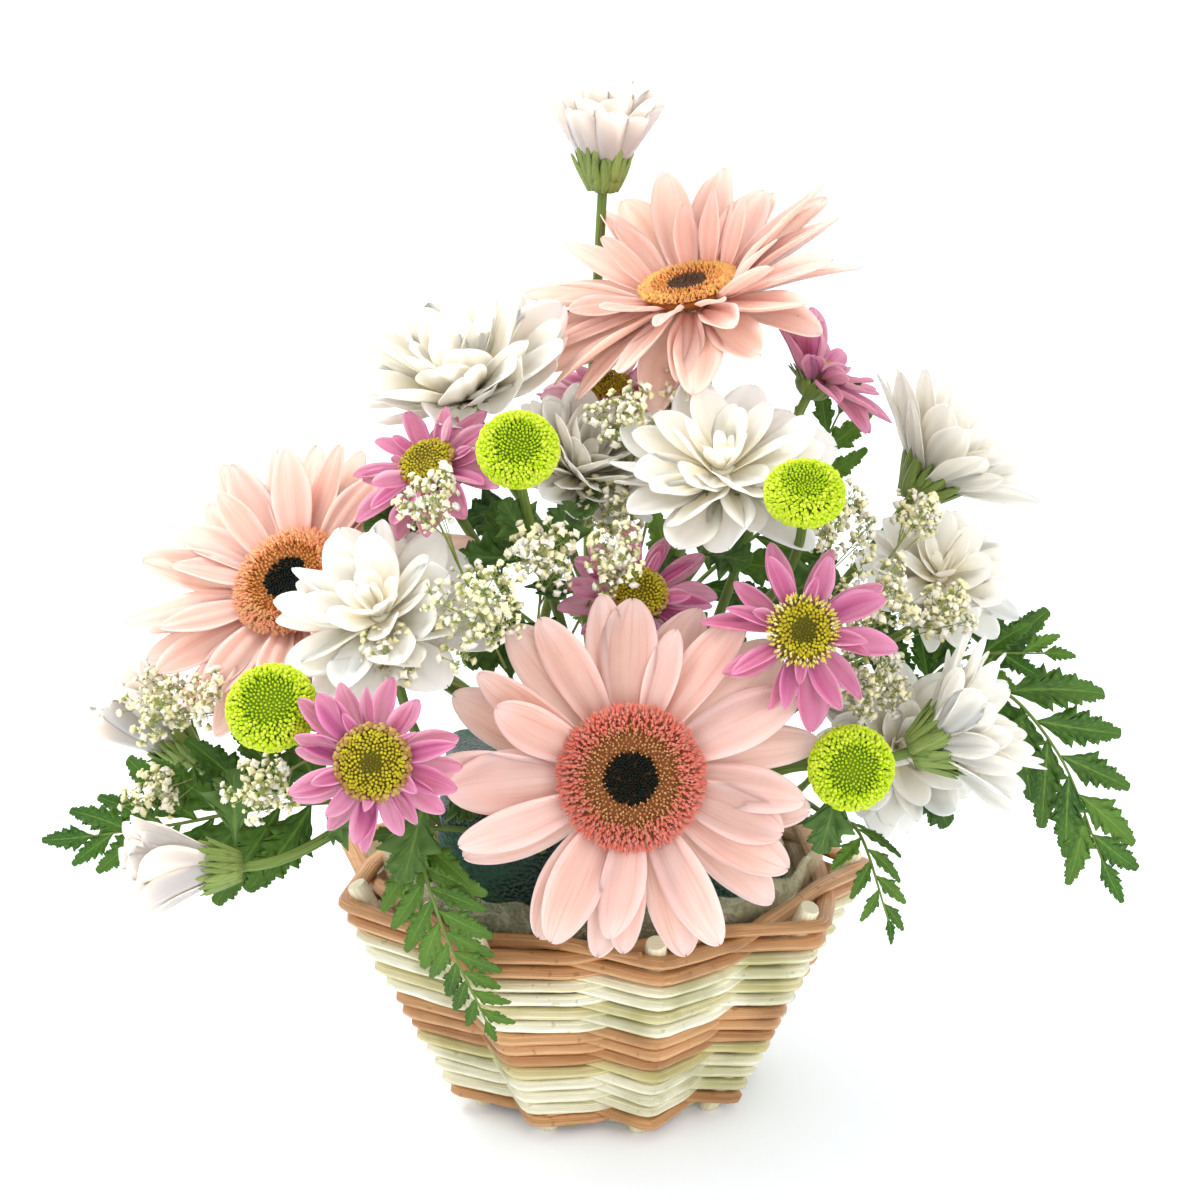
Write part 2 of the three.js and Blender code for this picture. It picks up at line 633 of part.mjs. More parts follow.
function bloomGroup(name, bloom, seed) {
  const kind = KINDS[bloom.kind];
  const group = new THREE.Group();
  group.position.copy(vec(bloom.at));
  group.quaternion.copy(facing(bloom));
  if (bloom.kind === "button") {
    group.add(mesh(`${name}_head`, button(bloom, kind), COLOURS.button));
    return group;
  }
  const tint = { gerbera: COLOURS.peach, daisy: COLOURS.mauve }[bloom.kind] ?? COLOURS.white;
  group.add(mesh(`${name}_petals`, petals(bloom, kind, seed), tint));
  if (kind.disc && !bloom.hidden) {
    const middle = bloom.kind === "gerbera" ? COLOURS.fringe : COLOURS.eye;
    group.add(mesh(`${name}_disc`, disc(bloom, kind), middle));
  }
  return group;
}

// ---------------------------------------------------------------- stems
function wayOut([round, rise]) {
  const level = Math.cos(rad(rise));
  return new THREE.Vector3(Math.sin(rad(round)) * level, -Math.cos(rad(round)) * level, Math.sin(rad(rise)));
}

// A rod along a curve, with further rings in line with its end for the cup under a bloom.
function rod(curve, steps, radiusAt, sides, cup = []) {
  const frames = curve.computeFrenetFrames(steps, false);
  const ringAt = (middle, i, radius) =>
    Array.from({ length: sides }, (_, k) => {
      const around = (k / sides) * 2 * Math.PI;
      return middle
        .clone()
        .addScaledVector(frames.normals[i], Math.cos(around) * radius)
        .addScaledVector(frames.binormals[i], Math.sin(around) * radius);
    });
  const rings = [];
  for (let i = 0; i <= steps; i++) rings.push(ringAt(curve.getPointAt(i / steps), i, radiusAt(i / steps)));
  for (const [along, radius] of cup) {
    const middle = curve.getPointAt(1).addScaledVector(frames.tangents[steps], along);
    rings.push(ringAt(middle, steps, radius));
  }
  return loft(rings);
}

// The straight part of a stem, from its cut end in the foam to its fork, and the hole that it stands in.
function trunk({ out, fork }, radius, sides = 5) {
  const way = wayOut(out);
  const at = (distance) => HEART.clone().addScaledVector(way, distance);
  const run = (from, to, r) => rod(new THREE.LineCurve3(at(from), at(to)), 1, () => r, sides);
  return {
    way,
    start: at(fork - 2),
    solid: run(STEM_ROOT, fork + 1, radius),
    hole: run(STEM_ROOT - CLEAR, fork + 45, radius + CLEAR),
  };
}

function branch(from, way, bloom) {
  const kind = KINDS[bloom.kind];
  const face = vec(bloom.faces).normalize();
  const { radius, height } = kind.calyx;
  const end = vec(bloom.at).addScaledVector(face, -height - CLEAR);
  const reach = from.distanceTo(end);
  const curve = new THREE.CubicBezierCurve3(
    from,
    from.clone().addScaledVector(way, reach * 0.4),
    end.clone().addScaledVector(face, -reach * (bloom.neck ?? 0.35)),
    end,
  );
  const cup = [
    [height * 0.45, radius * bloom.size],
    [height, radius * bloom.size * 1.1],
  ];
  return bloom.kind === "gerbera"
    ? rod(curve, 5, () => kind.stem, 7, cup)
    : rod(curve, 4, () => kind.stem, 4, cup);
}

// A lobed leaf, arched from its stalk to its tip.
function lobedLeaf(from, to, width) {
  const side = [[0.7, 0], [0.9, 0.34], [0.5 * width, 0.44], [0.42 * width, 0.55], [width, 0.66]];
  side.push([0.62 * width, 0.76], [0.66 * width, 0.88], [0.2 * width, 0.94]);
  const arch = new THREE.Vector3(0, 0, from.distanceTo(to) * 0.12);
  const rib = new THREE.QuadraticBezierCurve3(from, from.clone().lerp(to, 0.5).add(arch), to);
  const panels = [];
  for (let i = 0; i + 1 < side.length; i++) {
    const [[x0, y0], [x1, y1]] = [side[i], side[i + 1]];
    panels.push([[0, y0], [x0, y0], [x1, y1], [0, y1]], [[-x0, y0], [0, y0], [0, y1], [-x1, y1]]);
  }
  const [x, y] = side.at(-1);
  panels.push([[-x, y], [0, y], [0, 1]], [[0, y], [x, y], [0, 1]]);
  return blade(rib, panels, new THREE.Vector3(0, -0.7, 0.7));
}

function stemParts(stem) {
  const kinds = stem.carries.map((name) => KINDS[BLOOMS[name].kind]);
  const main = trunk(stem, Math.max(...kinds.map((kind) => kind.stem)) * 1.12);
  const branches = stem.carries.map((name) => branch(main.start, main.way, BLOOMS[name]));
  const leaves = (stem.leaves ?? []).map(([x, y, z, width]) => lobedLeaf(main.start, vec([x, y, z]), width));
  return { geometry: toGeometry(fuse([main.solid, ...branches, ...leaves])), hole: main.hole };
}

// ---------------------------------------------------------------- blades
// A thin blade laid along a rib with its face towards `face`. Its flat panels join edge to edge, and their
// corners are [across in mm, share of the rib's length].
function blade(rib, panels, face, sag = 0) {
  const length = rib.getLength();
  const corners = new Map();
  const points = [];
  const faces = [];
  const edges = new Set();
  const corner = ([x, share]) => {
    const key = `${x.toFixed(3)} ${share.toFixed(5)}`;
    if (corners.has(key)) return corners.get(key);
    const way = rib.getTangentAt(share);
    const across = new THREE.Vector3().crossVectors(way, face).normalize();
    const up = new THREE.Vector3().crossVectors(across, way);
    const under = rib.getPointAt(share).addScaledVector(across, x).addScaledVector(up, -sag * x * x);
    corners.set(key, points.length / 2);
    points.push(under.clone().addScaledVector(up, BLADE), under);
    return corners.get(key);
  };
  for (const panel of panels) {
    const loop = panel.map(corner);
    const flat = panel.map(([x, share]) => new THREE.Vector2(x, share * length));
    for (const split of THREE.ShapeUtils.triangulateShape(flat, [])) {
      const [a, b, c] = split.map((i) => loop[i]);
      faces.push([2 * a, 2 * b, 2 * c], [2 * a + 1, 2 * c + 1, 2 * b + 1]);
      edges.add(`${a} ${b}`).add(`${b} ${c}`).add(`${c} ${a}`);
    }
  }
  for (const edge of edges) {
    const [a, b] = edge.split(" ").map(Number);
    if (!edges.has(`${b} ${a}`)) faces.push([2 * a, 2 * a + 1, 2 * b + 1], [2 * a, 2 * b + 1, 2 * b]);
  }
  return indexed(points, faces);
}

// The panels of a frond: its rib, and pairs of toothed leaflets that point towards the tip.
function frondPanels({ leafy, width, pairs }, length) {
  const rib = 1.1;
  const step = (1 - leafy) / pairs;
  const stops = [0, leafy / 2];
  const panels = [];
  for (let i = 0; i < pairs; i++) {
    const from = leafy + i * step;
    const to = from + step * 0.84;
    const reach = Math.max(width * Math.sin(Math.PI * (0.26 + (0.64 * i) / (pairs - 1))), 3.4);
    const forward = Math.min((reach * 0.55) / length, step * 0.88);
    const tip = Math.min(from + forward * 1.08, 0.995);
    const tooth = Math.min(from + forward * 0.76 + step * 0.48, 0.995);
    const near = [[rib, from], [reach * 0.52, from + forward * 0.3], [reach * 0.62, from + forward * 0.62]];
    const far = [[reach, tip], [reach * 0.52, tooth], [rib, to]];
    const leaflet = [...near, ...far];
    panels.push(leaflet, leaflet.map(([x, y]) => [-x, y]).reverse());
    stops.push(from, to);
  }
  for (let i = 0; i + 1 < stops.length; i++) {
    panels.push([[-rib, stops[i]], [rib, stops[i]], [rib, stops[i + 1]], [-rib, stops[i + 1]]]);
  }
  panels.push([[-rib, stops.at(-1)], [rib, stops.at(-1)], [0, 1]]);
  return panels;
}

function fern(shape) {
  const main = trunk(shape, 1.3, 4);
  const blades = shape.fronds.map((frond, i) => {
    const start = main.start.clone().addScaledVector(main.way, -1.7 * i);
    const bend = start.clone().addScaledVector(main.way, 9);
    const rib = new THREE.CatmullRomCurve3([start, bend, ...frond.rib.map(vec)]);
    return blade(rib, frondPanels(frond, rib.getLength()), vec(frond.face), 0.2 / frond.width);
  });
  return { geometry: toGeometry(fuse([main.solid, ...blades])), hole: main.hole };
}

// ---------------------------------------------------------------- baby's breath
// A thread that opens into one floret at its end.
const floret = (from, to) => rod(new THREE.LineCurve3(from, to), 1, () => 0.45, 3, [[1, 1.9]]);

function breathSpray({ out, tufts, seed }) {
  const random = randomFrom(seed);
  const main = trunk({ out, fork: 58 }, 1.1, 4);
  const parts = [main.solid];
  for (const [x, y, z, size] of tufts) {
    const middle = vec([x, y, z]);
    const reach = main.start.distanceTo(middle);
    const bend = main.start.clone().addScaledVector(main.way, reach * 0.35);
    const twig = new THREE.QuadraticBezierCurve3(main.start, bend, middle);
    parts.push(rod(twig, 4, () => 0.85, 3));
    const count = Math.round(size * 0.62) + 1;
    for (let i = 0; i < count; i++) {
      const climb = 1 - (2 * (i + 0.5)) / count; // golden-angle spread over a ball
      const level = Math.sqrt(1 - climb * climb);
      const around = i * 2.4 + random() * 0.5;
      const ball = new THREE.Vector3(Math.cos(around) * level, Math.sin(around) * level, climb);
      const tip = middle.clone().addScaledVector(ball, size * (0.7 + 0.3 * random()));
      const from = twig.getPointAt(1 - (size / reach) * (0.12 + (0.9 * i) / count));
      parts.push(floret(from, tip));
    }
  }
  return { geometry: toGeometry(fuse(parts)), hole: main.hole };
}

// ---------------------------------------------------------------- the arrangement
const arrangement = new THREE.Group();
const holes = [];

const bands = [
  ["basket_foot_row", 1, 4.7, COLOURS.brown],
  ["basket_lower_rows", 4, 4.5, COLOURS.pale],
  ["basket_middle_rows", 3, 4, COLOURS.brown],
  ["basket_upper_rows", 4, 4.9, COLOURS.pale],
  ["basket_rim_rows", 2, 5, COLOURS.brown],
];
arrangement.add(mesh("basket_base_and_stakes", baseAndStakes(), COLOURS.pale));
let level = BASKET.basePlate + CLEAR / 2;
for (const [name, rows, pitch, colour] of bands) {
  arrangement.add(mesh(name, weaveBand(level, level + rows * pitch, rows), colour));
  level += rows * pitch;
}
arrangement.add(mesh("clear_liner", liner(), COLOURS.film, 0.15));

Object.entries(BLOOMS).forEach(([name, bloom], i) => arrangement.add(bloomGroup(name, bloom, i + 1)));

const plants = [
  [STEMS, stemParts, COLOURS.stem],
  [FERNS, fern, COLOURS.fern],
  [BREATH, breathSpray, COLOURS.breath],
];
for (const [shapes, build, colour] of plants) {
  for (const [name, shape] of Object.entries(shapes)) {
    const { geometry, hole } = build(shape);
    arrangement.add(mesh(name, geometry, colour));
    holes.push(hole);
  }
}
arrangement.add(mesh("floral_foam", foam(holes), COLOURS.foam, 0.95));

export default arrangement;
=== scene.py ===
import random
from math import atan2, cos, exp, pi, radians, sin, sqrt

import bpy
import numpy as np
from mathutils import Matrix, Vector
from mathutils.noise import noise


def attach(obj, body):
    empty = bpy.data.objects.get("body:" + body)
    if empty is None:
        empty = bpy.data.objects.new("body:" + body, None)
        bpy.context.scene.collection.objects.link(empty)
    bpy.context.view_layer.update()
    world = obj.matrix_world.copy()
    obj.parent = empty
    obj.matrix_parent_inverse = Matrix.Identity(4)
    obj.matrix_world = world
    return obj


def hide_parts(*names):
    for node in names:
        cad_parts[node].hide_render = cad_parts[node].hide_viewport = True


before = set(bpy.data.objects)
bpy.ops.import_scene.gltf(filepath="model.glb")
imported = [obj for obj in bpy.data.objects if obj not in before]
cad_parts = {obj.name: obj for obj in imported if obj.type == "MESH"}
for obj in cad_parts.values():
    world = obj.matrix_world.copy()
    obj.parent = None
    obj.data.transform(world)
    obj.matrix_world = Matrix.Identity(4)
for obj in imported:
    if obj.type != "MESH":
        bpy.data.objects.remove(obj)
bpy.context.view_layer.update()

# Lengths are millimetres here, and each finished piece is brought to metres.
scene = bpy.context.scene
toMetres = Matrix.Scale(0.001, 4)
fullTurn = 2 * pi
goldenTurn = pi * (3 - sqrt(5))


class Flow:
    # a value in a node tree; sums with it are built from math nodes
    def __init__(self, tree, socket):
        self.tree, self.socket = tree, socket

    def calc(self, operation, *others, kind="ShaderNodeMath"):
        return put(self.tree, kind, dict(enumerate((self, *others))), operation=operation)

    def vector(self, operation, *others):
        return self.calc(operation, *others, kind="ShaderNodeVectorMath")

    def __rsub__(self, other):
        return self * -1.0 + other


def asMethod(operation):
    return lambda self, *others: self.calc(operation, *others)


operations = {
    "add": "ADD", "sub": "SUBTRACT", "mul": "MULTIPLY", "truediv": "DIVIDE", "pow": "POWER", "mod": "MODULO",
    "abs": "ABSOLUTE",
}
for method, operation in operations.items():
    setattr(Flow, f"__{method}__", asMethod(operation))


def feed(tree, socket, value):
    if isinstance(value, Flow):
        tree.links.new(value.socket, socket)
    else:
        socket.default_value = value


def put(tree, kind, values=None, out=0, **settings):
    # adds a node, feeds its inputs and gives one output, or a list of them
    node = tree.nodes.new(kind)
    for key, value in settings.items():
        setattr(node, key, value)
    for key, value in (values or {}).items():
        feed(tree, node.inputs[key], value)
    if isinstance(out, list):
        return [Flow(tree, node.outputs[key]) for key in out]
    return Flow(tree, node.outputs[out])


def combine(tree, *values):
    return put(tree, "ShaderNodeCombineXYZ", dict(enumerate(values)))


def openTree(tree, inputs, outputs):
    # both hold the names of the sockets of each kind
    for way, sockets in (("INPUT", inputs), ("OUTPUT", outputs)):
        for kind, labels in sockets.items():
            for label in labels:
                tree.interface.new_socket(label, in_out=way, socket_type="NodeSocket" + kind)
    return tree, {socket.name: Flow(tree, socket) for socket in tree.nodes.new("NodeGroupInput").outputs}


def startTree(name, **inputs):
    tree = bpy.data.node_groups.new(name, "GeometryNodeTree")
    tree.is_modifier = True
    inputs = {"Geometry": ["Geometry"], **inputs, "Material": ["Material"]}
    return openTree(tree, inputs, {"Geometry": ["Geometry"]})


def endTree(geometry, material):
    tree = geometry.tree
    geometry = put(tree, "GeometryNodeRealizeInstances", {"Geometry": geometry})
    geometry = put(tree, "GeometryNodeSetMaterial", {"Geometry": geometry, "Material": material})
    feed(tree, tree.nodes.new("NodeGroupOutput").inputs[0], geometry)
    return tree


def store(geometry, label, value, kind="FLOAT", **settings):
    values = {"Geometry": geometry, "Name": label, "Value": value}
    return put(geometry.tree, "GeometryNodeStoreNamedAttribute", values, data_type=kind, **settings)


def read(tree, label, kind="FLOAT"):
    return put(tree, "GeometryNodeInputNamedAttribute", {"Name": label}, data_type=kind)


def vary(seed, step, spread):
    # a number from -spread to spread, drawn anew for each point
    return put(seed.tree, "FunctionNodeRandomValue", {2: -1.0, 3: 1.0, 8: seed + step}, 1) * spread


def pointsAt(count, radius, angle, height):
    place = combine(count.tree, angle.calc("COSINE") * radius, angle.calc("SINE") * radius, height)
    return put(count.tree, "GeometryNodePoints", {"Count": count, "Position": place})


def turnBy(tree, x, y, z):
    return put(tree, "FunctionNodeEulerToRotation", {0: combine(tree, x, y, z)})


def aimAt(tree, way, axis, rotation=None, **settings):
    values = {"Vector": way} if rotation is None else {"Vector": way, "Rotation": rotation}
    return put(tree, "FunctionNodeAlignRotationToVector", values, axis=axis, **settings)


def shapesOf(collection):
    return put(collection.tree, "GeometryNodeCollectionInfo", {"Collection": collection, 1: True, 2: True})


def shapeOf(thing):
    return put(thing.tree, "GeometryNodeObjectInfo", {"Object": thing}, 4)


drawnUpTo = 97  # more than any shelf holds; the index starts again at its end
toneStep = 31


def instanceOn(points, shapes, rotation, scale, seed, pick=False):
    # copies of a shape on the points, each with a tone of its own for the materials
    values = {"Points": points, "Instance": shapes, "Rotation": rotation, "Scale": scale}
    if pick:
        drawn = put(seed.tree, "FunctionNodeRandomValue", {4: 0, 5: drawnUpTo, 8: seed}, 2, data_type="INT")
        values.update({"Pick Instance": True, "Instance Index": drawn})
    copies = put(seed.tree, "GeometryNodeInstanceOnPoints", values)
    tone = put(seed.tree, "FunctionNodeRandomValue", {2: 0.0, 3: 1.0, 8: seed + toneStep}, 1)
    return store(copies, "tone", tone, domain="INSTANCE")


def whorlTree():
    # petals round an axis, rising from a ring
    tree, given = startTree("petalWhorl", Collection=["Petals"], Int=["Count", "Seed"], Float=[
        "Root", "Lift", "Length", "Length Spread", "Rise", "Rise Spread", "Tilt", "Tilt Way",
        "Turn", "Turn Spread", "Roll Spread",
    ])
    seed = given["Seed"]
    angle = put(tree, "GeometryNodeInputIndex") / given["Count"] * fullTurn + given["Turn"]
    angle = angle + vary(seed, 1, given["Turn Spread"])
    rise = given["Rise"] + vary(seed, 2, given["Rise Spread"])
    rise = (angle - given["Tilt Way"]).calc("COSINE") * given["Tilt"] + rise
    points = pointsAt(given["Count"], given["Root"], angle, given["Lift"] + vary(seed, 3, 0.3))
    rotation = turnBy(tree, vary(seed, 4, given["Roll Spread"]), rise * -1.0, angle)
    scale = given["Length"] * (vary(seed, 5, given["Length Spread"]) + 1.0)
    petals = instanceOn(points, shapesOf(given["Petals"]), rotation, scale, seed, pick=True)
    return endTree(petals, given["Material"])


def headTree():
    # florets in the two-way spiral of a flower head, over a dome with a dimple
    tree, given = startTree("floretHead", Object=["Floret"], Int=["Count", "Seed"], Float=[
        "From", "To", "Radius", "Height", "Sweep", "Dip", "Dip Share", "Lean",
        "Inner Size", "Outer Size", "Size Spread",
    ])
    seed = given["Seed"]
    index = put(tree, "GeometryNodeInputIndex")
    low, high = given["From"] ** 2.0, given["To"] ** 2.0
    share = ((high - low) * ((index + 0.5) / given["Count"]) + low).calc("SQRT")
    bend = share * given["Sweep"]
    angle = index * goldenTurn + vary(seed, 1, 0.05)
    hollow = ((share / given["Dip Share"]) ** 2.0 * -1.0).calc("EXPONENT")
    height = given["Height"] * bend.calc("COSINE") - hollow * given["Dip"]
    points = pointsAt(given["Count"], given["Radius"] * bend.calc("SINE"), angle, height)
    lean = bend * given["Lean"] + vary(seed, 2, 0.12)
    rotation = turnBy(tree, vary(seed, 3, 0.1), lean, angle)
    size = (given["Outer Size"] - given["Inner Size"]) * share + given["Inner Size"]
    size = size * (vary(seed, 4, given["Size Spread"]) + 1.0)
    return endTree(instanceOn(points, shapeOf(given["Floret"]), rotation, size, seed), given["Material"])


def sweepTree():
    # a round or oval section swept along every path of the mesh, as thick as its points say
    tree, given = startTree("sweptPath", Int=["Sides"], Float=["Across", "Upright"])
    curve = put(tree, "GeometryNodeMeshToCurve", {"Mesh": given["Geometry"]})
    curve = put(tree, "GeometryNodeSetCurveNormal", {"Curve": curve}, mode="Z_UP")
    curve = store(curve, "along", put(tree, "GeometryNodeSplineParameter", out=1))
    ring = put(tree, "GeometryNodeCurvePrimitiveCircle", {"Resolution": given["Sides"], "Radius": 1.0})
    ring = store(ring, "around", put(tree, "GeometryNodeSplineParameter"))
    shape = combine(tree, given["Upright"], given["Across"], 1.0)
    ring = put(tree, "GeometryNodeTransform", {"Geometry": ring, "Scale": shape})
    values = {"Curve": curve, "Profile Curve": ring, "Scale": read(tree, "thick"), "Fill Caps": True}
    return endTree(put(tree, "GeometryNodeCurveToMesh", values), given["Material"])


def leafletTree():
    # leaflets in pairs along a rib, pointing forward, smaller towards the tip
    tree, given = startTree(
        "leafletsAlong", Collection=["Leaflets"], Int=["Pairs", "Seed"], Vector=["Face"],
        Float=["Start", "Angle", "Tip Angle", "Reach", "Tip Reach", "First Reach", "Droop"],
    )
    lastPair = 0.985  # share of the rib where the last pair would stand
    seed = given["Seed"]
    index = put(tree, "GeometryNodeInputIndex")
    side = index % 2.0 * 2.0 - 1.0
    count = given["Pairs"] * 2.0
    part = index / count
    at = part * (lastPair - given["Start"]) + given["Start"]
    curve = put(tree, "GeometryNodeMeshToCurve", {"Mesh": given["Geometry"]})
    values = {"Curves": curve, "Factor": at}
    spot, way = put(tree, "GeometryNodeSampleCurve", values, ["Position", "Tangent"], mode="FACTOR")
    points = put(tree, "GeometryNodePoints", {"Count": count, "Position": spot})
    points = store(points, "way", way, "FLOAT_VECTOR")  # kept on the points, to be read from there
    way = read(tree, "way", "FLOAT_VECTOR")
    across = given["Face"].vector("CROSS_PRODUCT", way).vector("NORMALIZE")
    up = way.vector("CROSS_PRODUCT", across).vector("NORMALIZE")
    angle = part * (given["Tip Angle"] - given["Angle"]) + given["Angle"]
    angle = angle + vary(seed, 1, 0.08)
    aim = way.vector("MULTIPLY", angle.calc("COSINE"))
    aim = aim.vector("ADD", across.vector("MULTIPLY", angle.calc("SINE") * side))
    aim = aim.vector("ADD", up.vector("MULTIPLY", given["Droop"] * -1.0 + vary(seed, 2, 0.09)))
    rotation = aimAt(tree, up, "Z", aimAt(tree, aim, "X"), pivot_axis="X")
    # the reach swells from the first pair to the widest, then falls to the tip
    swell = (part * 4.0).calc("MINIMUM", 1.0)
    grown = swell * (1.0 - given["First Reach"]) + given["First Reach"]
    reach = part ** 1.35 * (given["Tip Reach"] - given["Reach"]) + given["Reach"]
    reach = reach * grown * (vary(seed, 3, 0.07) + 1.0)
    leaflets = instanceOn(points, shapesOf(given["Leaflets"]), rotation, reach, seed, pick=True)
    return endTree(leaflets, given["Material"])


def tipTree():
    # a floret at each tip, turned the way that the tip aims
    tree, given = startTree("floretsOnTips", Object=["Floret"], Int=["Seed"])
    turn = turnBy(tree, 0.0, 0.0, vary(given["Seed"], 1, pi))
    rotation = aimAt(tree, read(tree, "aim", "FLOAT_VECTOR"), "Z", turn)
    shape, size = shapeOf(given["Floret"]), read(tree, "size")
    return endTree(instanceOn(given["Geometry"], shape, rotation, size, given["Seed"]), given["Material"])


petalWhorl, floretHead, sweptPath = whorlTree(), headTree(), sweepTree()
leafletsAlong, floretsOnTips = leafletTree(), tipTree()
print("node trees ready")


def addObject(name, data):
    thing = bpy.data.objects.new(name, data)
    scene.collection.objects.link(thing)
    return thing


def grow(tree, settings, source=None):
    # runs a node tree once and gives the plain mesh that it makes
    base = addObject("growing", source or bpy.data.meshes.new("seed"))
    modifier = base.modifiers.new("grow", "NODES")
    modifier.node_group = tree
    for item in tree.interface.items_tree:
        if item.item_type == "SOCKET" and item.in_out == "INPUT" and item.name in settings:
            modifier[item.identifier] = settings[item.name]
    graph = bpy.context.evaluated_depsgraph_get()
    grown = base.evaluated_get(graph)
    mesh = bpy.data.meshes.new_from_object(grown, preserve_all_data_layers=True, depsgraph=graph)
    base.modifiers.remove(modifier)
    bpy.data.objects.remove(base)
    return mesh


def addAttribute(mesh, label, values):
    values = np.asarray(values, "f")
    kind, key = ("FLOAT_VECTOR", "vector") if values.ndim == 2 else ("FLOAT", "value")
    mesh.attributes.new(label, kind, "POINT").data.foreach_set(key, values.ravel())


def plainMesh(name, points, faces=(), edges=(), material=None, **attributes):
    mesh = bpy.data.meshes.new(name)
    mesh.from_pydata([tuple(p) for p in points], edges, [tuple(int(i) for i in f) for f in faces])
    for label, values in attributes.items():
        addAttribute(mesh, label, values)
    if material:
        mesh.materials.append(material)
    mesh.shade_smooth()
    return mesh


def bladeMesh(name, grid, places, thickness):
    # a thin closed blade over a grid of points; places holds each point's share along and across
    rows, columns = grid.shape[:2]
    normal = np.cross(np.gradient(grid, axis=0), np.gradient(grid, axis=1))
    normal /= np.linalg.norm(normal, axis=2, keepdims=True) + 1e-12
    count = rows * columns
    index = np.arange(count).reshape(rows, columns)
    upper = np.stack([index[:-1, :-1], index[1:, :-1], index[1:, 1:], index[:-1, 1:]], -1).reshape(-1, 4)
    edge = np.concatenate([index[:, 0], index[-1, 1:], index[-2::-1, -1], index[0, -2:0:-1]])
    after = np.roll(edge, -1)
    rim = np.stack([after, edge, edge + count, after + count], -1)
    half = normal * thickness / 2
    points = np.concatenate([(grid + half).reshape(-1, 3), (grid - half).reshape(-1, 3)])
    sides = [np.hstack([places.reshape(-1, 2), np.full((count, 1), side)]) for side in (1.0, 0.0)]
    faces = np.concatenate([upper, upper[:, ::-1] + count, rim])
    return plainMesh(name, points, faces, place=np.concatenate(sides))


def ringMesh(name, rings, material=None, **attributes):
    # a closed skin over rings of equal count, from the middle of the first to the middle of the last
    rings = np.asarray(rings)
    levels, n = rings.shape[:2]
    points = np.concatenate([rings.reshape(-1, 3), rings[:1].mean(1), rings[-1:].mean(1)])
    index = np.arange(levels * n).reshape(levels, n)
    after = np.roll(index, -1, axis=1)
    faces = np.stack([index[:-1], after[:-1], after[1:], index[1:]], -1).reshape(-1, 4).tolist()
    for i in range(n):
        faces.append((levels * n, after[0, i], index[0, i]))
        faces.append((levels * n + 1, index[-1, i], after[-1, i]))
    return plainMesh(name, points, faces, material=material, **attributes)


def template(mesh):
    return bpy.data.objects.new(mesh.name, mesh)


def shelf(name, meshes):
    # a collection of shapes for the node trees to choose from, outside the scene
    group = bpy.data.collections.new(name)
    for mesh in meshes:
        group.objects.link(template(mesh))
    return group


def chain(start, end):
    return [(i, i + 1) for i in range(start, end - 1)]


def swept(paths, material, sides=10, across=1.0, upright=1.0, tones=None):
    # paths: lists of (point, thickness); each becomes one rod
    points, thick, tone, edges = [], [], [], []
    for i, path in enumerate(paths):
        edges += chain(len(points), len(points) + len(path))
        points += [p for p, _ in path]
        thick += [t for _, t in path]
        tone += [tones[i] if tones else 0.5] * len(path)
    settings = {"Sides": sides, "Across": across, "Upright": upright, "Material": material}
    return grow(sweptPath, settings, plainMesh("paths", points, edges=edges, thick=thick, tone=tone))


def placed(mesh, matrix):
    mesh.transform(matrix)
    return mesh


def finish(name, meshes, nodes=()):
    # joins the parts of a piece, brings it to metres and ties it to the frame
    parts = [addObject(name, mesh) for mesh in meshes]
    piece = parts[0]
    if len(parts) > 1:
        with bpy.context.temp_override(active_object=piece, object=piece, selected_editable_objects=parts):
            bpy.ops.object.join()
    piece.name = name
    piece.data.name = name
    piece.data.transform(toMetres)
    piece.data.update()
    piece.data.shade_smooth()
    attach(piece, "root")
    if nodes:
        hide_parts(*nodes)


def polar(radius, angle, z):
    return Vector((radius * cos(angle), radius * sin(angle), z))


def circle(radius, z, sides):
    return [polar(radius, i / sides * fullTurn, z) for i in range(sides)]


def blend(share, first, second, mode="MIX"):
    tree = (share if isinstance(share, Flow) else first).tree
    return put(tree, "ShaderNodeMix", {0: share, 6: first, 7: second}, 2, data_type="RGBA", blend_type=mode)


def ramp(value, low, high, to=(0.0, 1.0)):
    values = {"Value": value, "From Min": low, "From Max": high, "To Min": to[0], "To Max": to[1]}
    return put(value.tree, "ShaderNodeMapRange", values, interpolation_type="SMOOTHSTEP")


def speckle(place, scale, detail, **more):
    values = {"Vector": place, "Scale": scale, "Detail": detail, **more}
    return put(place.tree, "ShaderNodeTexNoise", values)


def darken(colour, shade):
    return blend(1.0, colour, combine(colour.tree, shade, shade, shade), "MULTIPLY")


def objectPlace(tree):
    return put(tree, "ShaderNodeTexCoord", out=3)


def number(tree, label):
    return put(tree, "ShaderNodeAttribute", out=2, attribute_name=label)


def bladePlace(tree):
    # how far along and across a petal or leaf, and 1 on its upper side
    place = put(tree, "ShaderNodeAttribute", out=1, attribute_name="place")
    return put(tree, "ShaderNodeSeparateXYZ", {0: place}, [0, 1, 2])


def startGroup(name, **inputs):
    group = bpy.data.node_groups.new(name, "ShaderNodeTree")
    return openTree(group, inputs, {"Color": ["Color"], "Float": ["Height"]})


def endGroup(colour, height):
    out = colour.tree.nodes.new("NodeGroupOutput").inputs
    feed(colour.tree, out["Color"], colour)
    feed(colour.tree, out["Height"], height)
    return colour.tree


